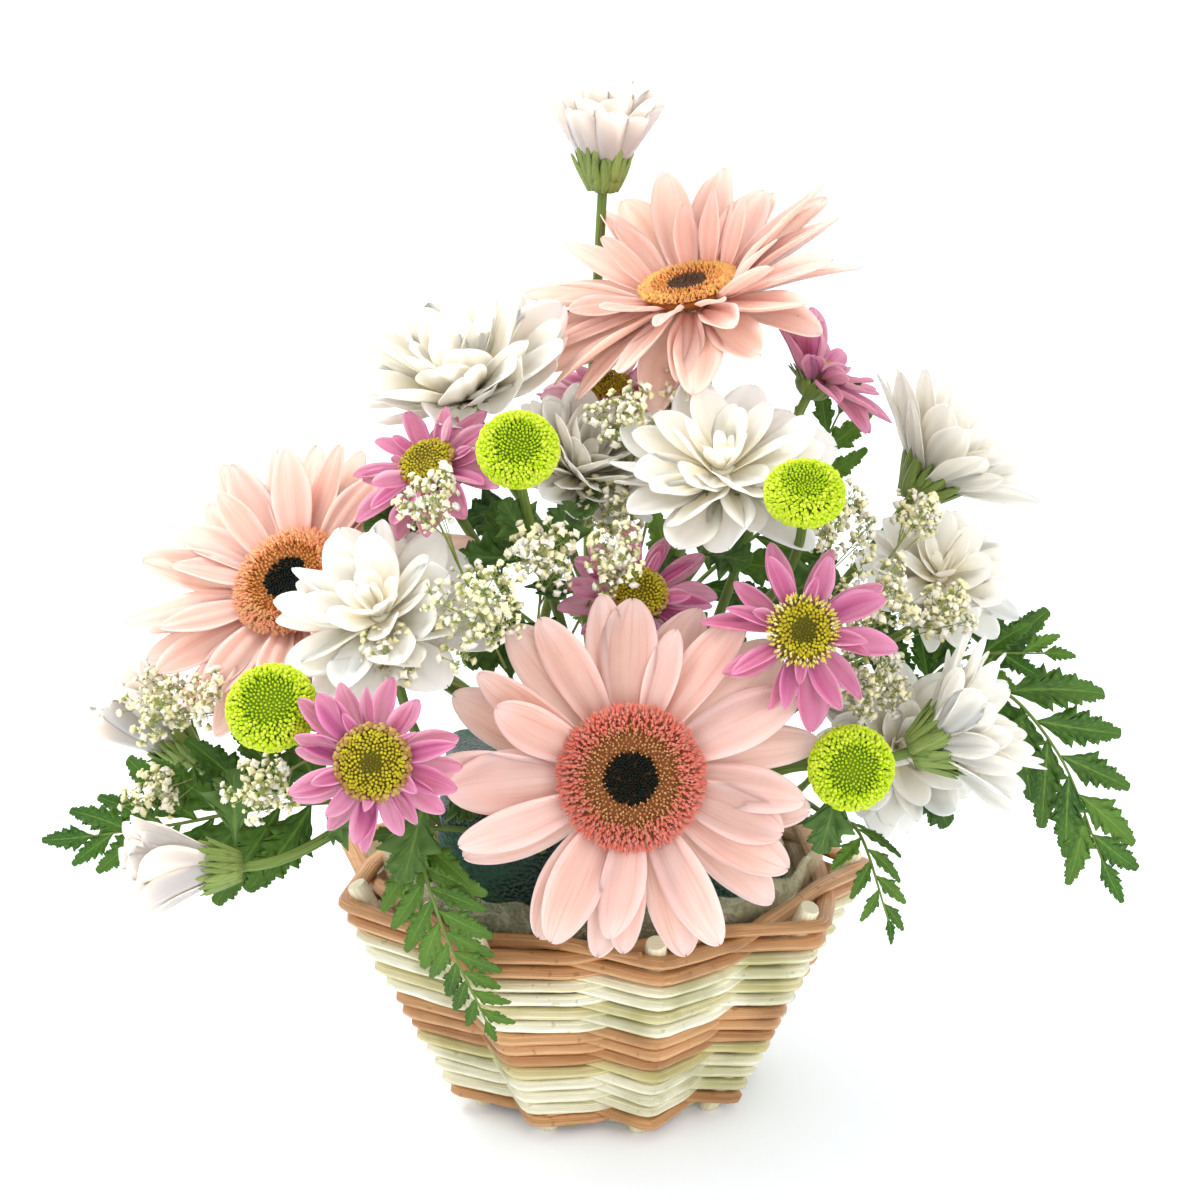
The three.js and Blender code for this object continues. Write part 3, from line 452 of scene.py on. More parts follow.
def petalTint():
    # paler at the rim, deeper at the root and in the veins, another colour beneath
    tree, given = startGroup(
        "petalTint", Color=["Body", "Root", "Edge", "Under"], Float=["Veins", "Vein Depth", "Root Reach"],
    )
    along, across, upper = bladePlace(tree)
    tone = number(tree, "tone")
    streak = speckle(combine(tree, along * 1.6, across * given["Veins"], tone * 40.0), 1.0, 3.0)
    mottle = speckle(objectPlace(tree), 160.0, 2.0)
    colour = blend(ramp(along, 0.0, given["Root Reach"]), given["Root"], given["Body"])
    rim = ramp(abs(across), 0.55, 1.0).calc("MAXIMUM", ramp(along, 0.7, 1.0))
    colour = blend(rim * 0.75, colour, given["Edge"])
    colour = blend((1.0 - upper) * 0.75, colour, given["Under"])
    colour = blend(ramp(streak, 0.5, 0.72) * given["Vein Depth"], colour, given["Root"])
    colour = blend(ramp(tone, 0.0, 1.0, (0.0, 0.3)), colour, given["Edge"])
    return endGroup(darken(colour, tone * 0.14 + (mottle * 0.12 + 0.84)), streak * 0.6 + mottle * 0.3)


def leafTint():
    # slanting veins and a midrib, lighter beneath and in patches
    tree, given = startGroup("leafTint", Color=["Blade", "Light", "Dark"], Float=["Veins"])
    along, across, upper = bladePlace(tree)
    side = abs(across)
    vein = abs(((along - side * 0.35) * given["Veins"] * pi).calc("SINE")) ** 0.5
    midrib = ramp(side, 0.0, 0.14)
    patch = speckle(objectPlace(tree), 55.0, 3.0)
    colour = blend(ramp(patch, 0.35, 0.68), given["Dark"], given["Blade"])
    light = [ramp(number(tree, "tone"), 0.3, 1.0, (0.0, 0.4))]
    light += [(1.0 - value) * share for value, share in ((vein, 0.35), (midrib, 0.6), (upper, 0.45))]
    for share in light:
        colour = blend(share, colour, given["Light"])
    return endGroup(colour, vein * 0.5 + midrib)


def plantFibre():
    # long fibres along a rod, from its own "along" and "around", with stains and dark specks
    tree, given = startGroup("plantFibre", Color=["Light", "Dark", "Stain"], Float=["Stain Share", "Fibres"])
    along, around, tone = [number(tree, label) for label in ("along", "around", "tone")]
    turn = around * fullTurn
    across = [turn.calc(operation) * given["Fibres"] for operation in ("COSINE", "SINE")]
    fibre = speckle(combine(tree, *across, along * 0.05 + tone * 50.0), 1.0, 4.0, Roughness=0.6)
    patch = speckle(objectPlace(tree), 38.0, 3.0)
    speck = speckle(objectPlace(tree), 420.0, 1.0)
    colour = blend(ramp(fibre + (tone * 0.3 - 0.15), 0.36, 0.64), given["Light"], given["Dark"])
    colour = blend(ramp(patch, 0.48, 0.72) * given["Stain Share"], colour, given["Stain"])
    colour = blend(ramp(speck, 0.68, 0.76) * 0.4, colour, given["Stain"])
    return endGroup(colour, speck * 0.25 + fibre)


def floretTint():
    # one colour at the foot and another at the tip, different from floret to floret
    tree, given = startGroup("floretTint", Color=["Foot", "Tip", "Other Tip"])
    tone = number(tree, "tone")
    tip = blend(ramp(tone, 0.35, 0.65), given["Tip"], given["Other Tip"])
    colour = blend(ramp(bladePlace(tree)[0], 0.1, 0.9), given["Foot"], tip)
    return endGroup(darken(colour, tone * 0.25 + 0.82), speckle(objectPlace(tree), 900.0, 2.0))


def rgb(screen):
    # a colour as a screen shows it, as the linear values that a shader takes
    scaled = [x / 255 for x in bytes.fromhex(screen)]
    return (*[x / 12.92 if x <= 0.04045 else ((x + 0.055) / 1.055) ** 2.4 for x in scaled], 1.0)


def startMaterial(name, surface):
    material = bpy.data.materials.new(name)
    material.use_nodes = True
    shader = material.node_tree.nodes["Principled BSDF"].inputs
    for label, value in surface.items():
        shader[label].default_value = value
    return material, material.node_tree, shader


def addBump(tree, shader, height, strength, distance):
    relief = put(tree, "ShaderNodeBump", {"Strength": strength, "Distance": distance, "Height": height})
    feed(tree, shader["Normal"], relief)


groups = {"petal": petalTint(), "leaf": leafTint(), "fibre": plantFibre(), "floret": floretTint()}
softPetal = {
    "Subsurface Weight": 0.5, "Subsurface Radius": (1.0, 0.6, 0.48), "Subsurface Scale": 0.007,
    "Specular IOR Level": 0.3, "Sheen Weight": 0.15,
}
glowingPetal = {
    **softPetal, "Subsurface Weight": 0.65, "Subsurface Radius": (1.0, 0.78, 0.55), "Subsurface Scale": 0.008,
}
softLeaf = {
    "Subsurface Weight": 0.1, "Subsurface Radius": (0.4, 1.0, 0.2), "Subsurface Scale": 0.0015,
    "Specular IOR Level": 0.28,
}
mattFloret = {"Specular IOR Level": 0.15, "Sheen Weight": 0.1}
softFloret = {
    **mattFloret, "Subsurface Weight": 0.25, "Subsurface Radius": (0.8, 1.0, 0.2), "Subsurface Scale": 0.002,
}
petal = {  # body, root, edge, underside, depth of the veins, reach of the root's colour, surface
    "peachPetal": ("eeac99", "de7c68", "f3c2b8", "f1b8a8", 0.45, 0.4, softPetal),
    "salmonPetal": ("eeac98", "e68268", "f3c2b3", "f3bca8", 0.4, 0.4, softPetal),
    "whitePetal": ("fdf6e5", "f7e6a6", "fefaef", "faefd8", 0.08, 0.72, glowingPetal),
    "creamPetal": ("fcecda", "f4d2b4", "fef7ec", "fae4ce", 0.12, 0.7, glowingPetal),
    "mauvePetal": ("b84274", "881e4e", "d46a98", "c85e88", 0.6, 0.4, softPetal),
}
floret = {  # foot, tip, the tip of other florets, surface
    "coralFringe": ("d67054", "f69a86", "ec7c68", mattFloret),
    "goldRing": ("985c2c", "dea66a", "c07846", mattFloret),
    "darkEye": ("040807", "071410", "10120c", {"Specular IOR Level": 0.12}),
    "amberFringe": ("f0965c", "ffc48e", "faa882", mattFloret),
    "amberRing": ("b46c2e", "f2b060", "d68848", mattFloret),
    "goldFringe": ("d68242", "fab470", "ecba60", mattFloret),
    "brownEye": ("22140a", "543618", "3e2612", mattFloret),
    "oliveFloret": ("7c6a0a", "beb01a", "a08e12", mattFloret),
    "tanFloret": ("5c4216", "bc9c54", "967032", mattFloret),
    "creamFloret": ("968414", "ecd88c", "d6c448", mattFloret),
    "mossEye": ("384208", "707616", "585c10", mattFloret),
    "limeFloret": ("849e00", "c8de14", "acc806", softFloret),
    "limeHeart": ("708e00", "b2ce0a", "9cbc04", softFloret),
    "limeRim": ("82a000", "d8e83c", "b4d00c", softFloret),
    "breathWhite": ("969c4c", "faf3e0", "ece2b4", softFloret),
}
leaf = {  # blade, light, dark, veins, roughness, bump
    "fernGreen": ("3e6218", "709032", "22460e", 7.0, 0.5, 0.45),
    "mumLeaf": ("385c1e", "6a883e", "204012", 5.0, 0.55, 0.5),
    "bractGreen": ("587428", "92a258", "325018", 4.0, 0.55, 0.4),
}
fibre = {  # light, dark, stain, share of the stain, fibres, roughness, bump, surface
    "stemGreen": ("7a8e42", "526a28", "3e561e", 0.5, 5.0, 0.5, 0.3, softLeaf),
    "twigOlive": ("9ca85c", "78883e", "82703c", 0.35, 9.0, 0.6, 0.3, {}),
    "paleWicker": ("fcf8e2", "d4c688", "9c983e", 0.6, 9.0, 0.5, 0.9, {}),
    "brownWicker": ("deaa76", "b07a48", "7e5028", 0.5, 9.0, 0.45, 0.9, {}),
    "palePith": ("f8f2da", "e2d4aa", "c4b078", 0.3, 9.0, 0.6, 0.5, {}),
}
finishes = {}


def addFinish(name, group, values, roughness, bump, look):
    # one shader group with its own values, under a plain surface shader
    material, tree, shader = startMaterial(name, {"Roughness": roughness, **look})
    values = {i: rgb(value) if isinstance(value, str) else value for i, value in enumerate(values)}
    colour, height = put(tree, "ShaderNodeGroup", values, [0, 1], node_tree=groups[group])
    feed(tree, shader["Base Color"], colour)
    addBump(tree, shader, height, bump, 0.0003)
    finishes[name] = material


for name, (*colours, depth, reach, look) in petal.items():
    addFinish(name, "petal", [*colours, 7.0, depth, reach], 0.52, 0.35, look)
for name, (*colours, look) in floret.items():
    addFinish(name, "floret", colours, 0.6, 0.2, look)
for name, (*values, roughness, bump) in leaf.items():
    addFinish(name, "leaf", values, roughness, bump, softLeaf)
for name, (*values, roughness, bump, look) in fibre.items():
    addFinish(name, "fibre", values, roughness, bump, look)


def addFilm():
    # clear film: seen edge on it turns milky, and its creases catch the light through the bump; thin opaque
    # lines of the pale film along the creases are painted highlights
    surface = {"Base Color": rgb("eee6ba"), "Roughness": 0.05, "Specular IOR Level": 1.0}
    finishes["clearFilm"], tree, shader = startMaterial("clearFilm", surface)
    crease = speckle(objectPlace(tree), 90.0, 5.0, Distortion=0.6)
    addBump(tree, shader, crease, 0.8, 0.002)
    # thin lines along the creases are made more opaque, so that the pale film shows there as painted
    # highlights; the rest is an even haze
    hazeAndCreaseHighlight = ramp(abs(crease - 0.5), 0.0, 0.03, (1.0, 0.0)) * 0.13 + 0.09
    facing = put(tree, "ShaderNodeLayerWeight", {"Blend": 0.3}, 1)
    feed(tree, shader["Alpha"], facing ** 2.2 * 0.42 + hazeAndCreaseHighlight)


def addFoam():
    # wet foam: fine open cells, each darker towards its middle as painted shade in the pore, and darker where
    # water stands
    finishes["wetFoam"], tree, shader = startMaterial("wetFoam", {})
    cells = put(tree, "ShaderNodeTexVoronoi", {"Vector": objectPlace(tree), "Scale": 900.0})
    damp = speckle(objectPlace(tree), 45.0, 4.0)
    colour = blend(ramp(damp, 0.38, 0.66), rgb("0e2c22"), rgb("244e3a"))
    # the middle of each cell, its pit in the bump, is darkened: painted shade in the pore
    feed(tree, shader["Base Color"], blend(ramp(cells, 0.0, 0.5, (0.5, 0.0)), colour, rgb("081812")))
    feed(tree, shader["Roughness"], ramp(damp, 0.4, 0.7, (0.35, 0.8)))
    addBump(tree, shader, damp * 2.0 + cells, 0.7, 0.0012)


addFilm()
addFoam()
print("materials ready")


basket = {
    "stakes": 9, "footRadius": 42.0, "rimRadius": 77.0, "height": 67.4, "flute": 10.5, "stakeRadius": 2.9,
    "stakeTop": 70.0, "firstStake": 12.0, "twist": -5.0, "strand": 3.2, "floor": 3.15, "sides": 10,
    "stakeInset": 1.46, "bulge": 0.8, "across": 0.54, "upright": 0.55, "endSize": 2.6, "baseTurns": 11,
    "baseReach": (6.0, 33.4), "baseLevel": 1.62, "table": 0.05,
    "slope": 0.36,  # share of the pitch that a strand falls by on its way round a stake
    "bands": [  # name, node, rows, pitch, finish, slot
        ("basketFootRow", "basket_foot_row", 1, 4.7, "brownWicker", "brown_wicker"),
        ("basketLowerRows", "basket_lower_rows", 4, 4.5, "paleWicker", "pale_wicker"),
        ("basketMiddleRows", "basket_middle_rows", 3, 4.0, "brownWicker", "brown_wicker"),
        ("basketUpperRows", "basket_upper_rows", 4, 4.9, "paleWicker", "pale_wicker"),
        ("basketRimRows", "basket_rim_rows", 2, 5.0, "brownWicker", "brown_wicker"),
    ],
}
stakeStep = fullTurn / basket["stakes"]


def cornerRadius(z):
    return basket["footRadius"] + (basket["rimRadius"] - basket["footRadius"]) * z / basket["height"]


def recessRadius(z):
    return cornerRadius(z) - basket["flute"]


def stakeCentre(z):
    return cornerRadius(z) - basket["strand"] / 2 - basket["stakeRadius"] * basket["stakeInset"]


def stakeAngle(k, z):
    return radians(basket["firstStake"] - 90 - basket["twist"] * (1 - z / basket["height"])) + k * stakeStep


def strandPath(z, pitch, rng):
    # one strand that passes outside a stake and inside the next, and meets its start after two rounds
    knots = []
    bulge = basket["bulge"]
    for k in range(2 * basket["stakes"]):
        outside = k % 2 == 0
        mid = cornerRadius(z) + bulge if outside else recessRadius(z) * cos(stakeStep / 2) + 0.6
        knots.append((k, mid + rng.uniform(-0.35, 0.35), rng.uniform(-0.3, 0.3)))
        fall = -basket["slope"] * pitch if outside else basket["slope"] * pitch
        knots.append((
            k + 0.5, recessRadius(z) + (bulge if outside else -bulge), fall + rng.uniform(-0.25, 0.25)))
    corners = [polar(radius, stakeAngle(k, z), z + dz) for k, radius, dz in knots]
    steps = 8
    points = []
    for corner, after in zip(corners, corners[1:] + corners[:1]):
        points += [corner.lerp(after, j / steps) for j in range(steps)]
    # each bend is eased round its stake
    points = [(a + b * 2 + c) / 4 for a, b, c in zip(points[-1:] + points, points, points[1:] + points[:1])]
    shift = Vector((z * 3.1, pitch, 0))
    return [(p, 1.0 + 0.15 * noise(p * 0.09 + shift)) for p in points + points[:2]]


def strandEnd(angleShare, z, side):
    # a cut end that slips out between two rows beside a recess
    inside = polar(recessRadius(z) - 1.0, stakeAngle(angleShare, z), z)
    outside = polar(recessRadius(z) + 2.2, stakeAngle(angleShare + side * 0.16, z), z + 0.7)
    tip = polar(cornerRadius(z) - 1.0, stakeAngle(angleShare + side * 0.40, z), z + 1.3)
    return [(inside, 0.45), (inside.lerp(outside, 0.6), 0.5), (outside, 0.5), (tip, 0.44)]


def weaveBands():
    level = basket["floor"]
    for i, (name, node, rows, pitch, look, slot) in enumerate(basket["bands"]):
        rng = random.Random(40 + i)
        heights = [level + (row + 0.5) * pitch for row in range(rows)]
        tones = [rng.random() for _ in heights]
        paths = [strandPath(z, pitch, rng) for z in heights]
        section = basket["strand"] * basket["across"], pitch * basket["upright"]
        meshes = [swept(paths, finishes[look], basket["sides"], *section, tones)]
        ends = [strandEnd(rng.randrange(9) + 0.5, z + pitch * 0.3, rng.choice((-1, 1))) for z in heights[:2]]
        meshes.append(swept(ends, finishes[look], 8, basket["endSize"], basket["endSize"], [0.2, 0.9]))
        finish(name, meshes, [node])
        level += rows * pitch


def baseAndStakes():
    rods = []
    for k in range(basket["stakes"]):
        top = basket["stakeTop"] + 1.2 * noise(Vector((k * 2.3, 0, 0)))
        heights = [0.15, 0.9, *np.linspace(4, top - 4, 9), top - 0.7, top]
        wide = [basket["stakeRadius"] * share for share in (0.84, *[1.0] * 11, 0.88)]
        rods.append([(polar(stakeCentre(z), stakeAngle(k, z), z), w) for z, w in zip(heights, wide)])
    spiral = []
    perTurn = 54
    steps = basket["baseTurns"] * perTurn
    first, last = basket["baseReach"]
    for i in range(steps):
        angle, share = i / perTurn * fullTurn, (i + 1) / steps
        flute = abs(((angle - stakeAngle(0, 0)) / stakeStep) % 1 - 0.5) * 2
        reach = (first + (last - first) * share) * (1 - 0.13 * (1 - flute) * share)
        spiral.append((
            polar(reach, angle, basket["baseLevel"] + 0.55 * sin(angle * basket["stakes"] / 2)), 1.0))
    spokes = [
        [(polar(r, stakeAngle(k, 0), 1.6), 1.0) for r in (2.0, 12.0, 24.0, 35.5)]
        for k in range(basket["stakes"])
    ]
    meshes = [
        swept(rods, finishes["palePith"], 14),
        swept([spiral], finishes["paleWicker"], 8, 1.42, 1.0),
        swept(spokes, finishes["paleWicker"], 8, 1.1, 0.9),
    ]
    for mesh in meshes:  # the feet are cut level with the table
        for vertex in mesh.vertices:
            vertex.co.z = max(vertex.co.z, basket["table"])
    finish("basketBaseAndStakes", meshes, ["basket_base_and_stakes"])


weaveBands()
baseAndStakes()
print("basket woven")


liner = {
    "floor": 3.8, "rim": 67.4, "top": 76.0, "crumplesFrom": 40.0, "frill": 3.0, "flare": 2.6, "gap": 0.5,
    "wall": 0.3, "around": 150, "levels": 24,
}
foam = {
    "halfWidth": 45.0, "halfDepth": 40.0, "bottom": 5.0, "top": 95.0, "bevel": 5.0, "gap": 3.2,
    "footInset": 16.0, "around": 120,
}


def wallInside(z):
    return (recessRadius(z) - basket["strand"] / 2 - basket["bulge"]) * cos(stakeStep / 2)


def linerRing(z, inset):
    share = max(0.0, (z - liner["crumplesFrom"]) / (liner["top"] - liner["crumplesFrom"]))
    ring = []
    for i in range(liner["around"]):
        angle = i / liner["around"] * fullTurn
        spot = polar(3.2, angle, z * 0.045)
        fold = noise(spot * 1.6) + 0.5 * abs(noise(spot * 4.1)) + 0.25 * noise(spot * 9.0)
        crumple = fold * (0.5 + 3.2 * share ** 1.5)
        radius = wallInside(min(z, liner["rim"])) - liner["gap"] - inset + liner["flare"] * share ** 2
        rise = noise(spot * 2.3 + Vector((7, 0, 0))) * liner["frill"] + 0.8 * noise(spot * 7.0)
        ring.append(polar(radius - max(crumple, -0.3 - 2.0 * share), angle, z + rise * share ** 4 * 1.2))
    return ring


def makeLiner():
    levels = np.linspace(liner["floor"], liner["top"], liner["levels"])
    rings = [linerRing(z, 0.0) for z in levels]
    rings += [linerRing(max(z, liner["floor"] + liner["wall"]), liner["wall"]) for z in levels[::-1]]
    finish("clearLiner", [ringMesh("film", rings, finishes["clearFilm"])], ["clear_liner"])


def foamRing(z, inset):
    ring = []
    taper = wallInside(min(z, basket["height"])) - foam["gap"]
    for i in range(foam["around"]):
        angle = i / foam["around"] * fullTurn
        across, deep = max(abs(cos(angle)), 1e-6), max(abs(sin(angle)), 1e-6)
        radius = min(taper, foam["halfWidth"] / across, foam["halfDepth"] / deep) - inset
        spot = polar(radius, angle, z)
        dent = 0.5 * noise(spot * 0.25) + 0.35 * noise(spot * 0.9)
        ring.append(polar(radius - 0.5 + dent, angle, z + (0.4 * noise(spot * 0.3) if inset else 0.0)))
    return ring


def makeFoam():
    top, bevel = foam["top"], foam["bevel"]
    rings = [foamRing(foam["bottom"], foam["footInset"])]
    rings += [foamRing(z, 0.0) for z in np.linspace(foam["bottom"], top - bevel, 26)]
    rings += [foamRing(top - bevel * (1 - sin(a)), bevel * (1 - cos(a))) for a in (0.5, 1.0, 1.57)]
    rings += [foamRing(top, bevel + inset) for inset in (6, 12, 18, 24, 29)]
    finish("floralFoam", [ringMesh("foam", rings, finishes["wetFoam"])], ["floral_foam"])


makeLiner()
makeFoam()
print("film and foam ready")


# at a length of 1; narrow and wide bound the share of the width that each petal gets
petalParts = (
    "width", "neck", "belly", "blunt", "point", "notch", "curl", "curls", "dish", "groove",
    "grooves", "rows", "columns", "thick", "kinds", "twist", "bend", "narrow", "wide",
)
petalShapes = {
    "gerbera": (
        0.41, 0.36, 0.58, 1.7, 0.5, 0.03, -0.16, 0.2, -0.05, 0.018,
        2, 20, 9, 0.01, 14, 0.4, 0.14, 0.74, 1.16),
    "slimGerbera": (
        0.35, 0.38, 0.56, 1.4, 0.5, 0.04, -0.08, 0.2, 0.05, 0.02,
        2, 20, 9, 0.01, 12, 0.35, 0.1, 0.84, 1.1),
    "mum": (
        0.52, 0.36, 0.64, 1.8, 0.54, 0.045, 0.06, 0.3, 0.16, 0.018,
        3, 14, 9, 0.008, 14, 0.5, 0.14, 0.72, 1.14),
    "daisy": (
        0.37, 0.40, 0.58, 1.6, 0.58, 0.04, -0.05, 0.38, 0.20, 0.026,
        2, 14, 9, 0.013, 14, 0.7, 0.15, 0.7, 1.15),
    "bract": (
        0.30, 0.8, 0.22, 1.1, 0.5, 0.0, 0.35, 0.2, 0.35, 0.01,
        1, 8, 5, 0.04, 5, 0.15, 0.1, 0.84, 1.1),
    "slimMum": (
        0.35, 0.36, 0.62, 1.6, 0.58, 0.03, -0.02, 0.2, 0.10, 0.02,
        3, 16, 9, 0.008, 14, 0.4, 0.1, 0.8, 1.15),
    "bud": (
        0.58, 0.5, 0.62, 1.9, 0.5, 0.02, -0.06, 0.08, 0.34, 0.012,
        3, 14, 9, 0.008, 10, 0.15, 0.1, 0.84, 1.1),
}
petalShapes = {kind: dict(zip(petalParts, sizes)) for kind, sizes in petalShapes.items()}


def petalMesh(name, shape, rng):
    u = 1 - (1 - np.linspace(0, 1, shape["rows"])) ** 1.5
    v = np.linspace(-1, 1, shape["columns"])
    belly = shape["belly"] * rng.uniform(0.92, 1.08)
    rising = shape["neck"] + (1 - shape["neck"]) * np.sin(np.clip(u / belly, 0, 1) * pi / 2)
    falling = (1 - np.clip((u - belly) / (1 - belly), 0, 1) ** shape["blunt"]) ** shape["point"]
    share = rng.uniform(shape["narrow"], shape["wide"])
    half = shape["width"] / 2 * share * np.maximum(rising * falling, 0.05)
    curl = shape["curl"] + rng.uniform(-shape["curls"], shape["curls"])
    slope = curl * u ** 1.4 + rng.uniform(-0.05, 0.05) * np.sin(u * 5)
    step = np.diff(u, prepend=0)
    x, z = np.cumsum(np.cos(slope) * step), np.cumsum(np.sin(slope) * step)
    sway = rng.uniform(-1, 1) * shape["bend"] * u ** 2
    twist = rng.uniform(-shape["twist"], shape["twist"]) * u
    dish = shape["dish"] * rng.uniform(0.6, 1.3)
    grid = np.zeros((len(u), len(v), 3))
    for j, across in enumerate(v):
        y = half * across
        up = dish * half * across ** 2 * 2
        up += shape["groove"] * np.cos(shape["grooves"] * pi * across) * np.sin(u * pi) ** 0.5
        up += 0.012 * np.sin(u * rng.uniform(7, 9) + rng.uniform(0, 6)) * abs(across) ** 3
        depth = shape["notch"] * rng.uniform(0.3, 1.4) * exp(-(across / 0.3) ** 2)
        notch = depth * np.clip((u - 0.82) / 0.18, 0, 1)
        grid[:, j, 0] = x - np.sin(slope) * up - notch
        grid[:, j, 1] = y * np.cos(twist) + sway
        grid[:, j, 2] = z + np.cos(slope) * up + y * np.sin(twist)
    return bladeMesh(name, grid, np.stack(np.meshgrid(u, v, indexing="ij"), -1), shape["thick"])


def petalShelf(kind, seed):
    rng = random.Random(seed)
    meshes = [petalMesh(f"{kind}Petal{i}", petalShapes[kind], rng) for i in range(petalShapes[kind]["kinds"])]
    return shelf(kind + "Petals", meshes)


def turned(name, profile, sides, star):
    # a small closed body turned from its profile; a star pushes every second point out
    rings = []
    for radius, height, tip in profile:
        reach = [radius * (1 + (star * tip if i % 2 else -star * tip)) for i in range(sides)]
        rings.append([polar(r, i / sides * fullTurn, height) for i, r in enumerate(reach)])
    tips = [tip for _, _, tip in profile for _ in range(sides)] + [profile[0][2], profile[-1][2]]
    return template(ringMesh(name, rings, place=[(tip, 0, 0) for tip in tips]))


florets = {  # sides, star and the profile: radius, height, tip share
    "fringe": (6, 0.6, [(0.16, 0, 0), (0.2, 1.5, 0.4), (0.52, 2.3, 1), (0.18, 2.2, 0.8), (0.06, 3, 1)]),
    "ring": (6, 0.45, [(0.2, 0, 0), (0.26, 1, 0.4), (0.46, 1.6, 1), (0.2, 1.8, 0.8), (0.08, 2.4, 1)]),
    "bud": (7, 0.0, [(0.4, 0, 0), (0.62, 0.5, 0.5), (0.55, 1, 0.8), (0.25, 1.3, 1)]),
    "bead": (8, 0.0, [(0.3, 0, 0), (0.62, 0.45, 0.4), (0.72, 0.95, 0.8), (0.5, 1.35, 1), (0.2, 1.45, 1)]),
    "quill": (6, 0.0, [(0.3, 0, 0.2), (0.4, 0.8, 0.6), (0.5, 1.6, 0.95), (0.4, 1.85, 1), (0.16, 1.7, 0.9)]),
    "breath": (8, 0.3, [
        (0.25, 0, 0), (0.45, 0.6, 0.35), (1.0, 1.15, 0.9), (0.72, 1.35, 1), (0.5, 1.75, 1), (0.2, 1.6, 0.9)]),
}
florets = {
    name: turned(name + "Floret", profile, sides, star) for name, (sides, star, profile) in florets.items()
}
petalShelves = {kind: petalShelf(kind, 60 + i) for i, kind in enumerate(petalShapes)}


blooms = {  # kind, middle of its back, the way it faces, radius, turn about that way
    "gerbera_front": ("gerbera", (8, -84, 121), (0, -0.96, 0.24), 49, 14),
    "gerbera_left": ("gerbera", (-81, -28, 154), (-0.36, -0.62, 0.68), 47, 13),
    "gerbera_top": ("gerbera", (25, 5, 227), (-0.2, -0.18, 0.96), 47, 2),
    "mum_tall": ("bud", (1, 34, 259), (0.05, 0, 1), 28, 0),
    "mum_upper_left": ("bowl", (-35, -4, 203), (-0.24, -0.25, 0.93), 31, 22),
    "mum_behind_button": ("bowl", (-6, -19, 184), (0.35, -0.5, 0.8), 22, 8),
    "mum_centre": ("mum", (32, -46, 190), (0, -0.37, 0.93), 28.5, 5),
    "mum_right_top": ("cup", (90, 10, 175), (0.6, 0.1, 0.79), 30, 0),
    "mum_right": ("mum", (92, -16, 153), (0.15, -0.5, 0.85), 22, 0),
    "mum_right_side": ("cup", (87, -64, 123), (0.85, 0.05, 0.3), 28, 0),
    "mum_right_low": ("mum", (80, -36, 113), (0, -0.93, 0.36), 22, 12),
    "mum_left": ("mum", (-56.5, -61.5, 155.5), (-0.2, -0.5, 0.83), 26, 0),
    "mum_left_low": ("bud", (-101, -62, 88), (-1, -0.1, 0.02), 24, 0),
    "mum_left_back": ("bud", (-118, -4, 102), (-0.62, 0, 0.62), 25, 0),
    "daisy_upper_left": ("daisy", (-44, -42, 191), (-0.35, -0.5, 0.8), 21, 0),
    "daisy_front_left": ("daisy", (-57, -97, 129), (-0.05, -0.95, 0.3), 22, 5),
    "daisy_right": ("daisy", (51, -80, 158), (0.15, -0.88, 0.42), 22, 0),
    "daisy_top_right": ("daisy", (58, -10, 208), (0.45, 0.1, 0.88), 22, 0),
    "daisy_centre": ("daisy", (10, -56, 160), (0.1, -0.75, 0.65), 20, 0),
    "daisy_behind": ("daisy", (2, 10, 199), (-0.1, -0.35, 0.93), 19, 0),
    "button_upper": ("button", (-21, -62, 200), (0, -0.75, 0.66), 10.8, 0),
    "button_right": ("button", (52, -72, 190), (0, -0.5, 0.86), 10.6, 0),
    "button_left": ("button", (-83.5, -80, 136), (-0.1, -0.72, 0.68), 12.4, 0),
    "button_low": ("button", (64, -82, 123), (0.1, -0.96, 0.2), 11.4, 0),
}
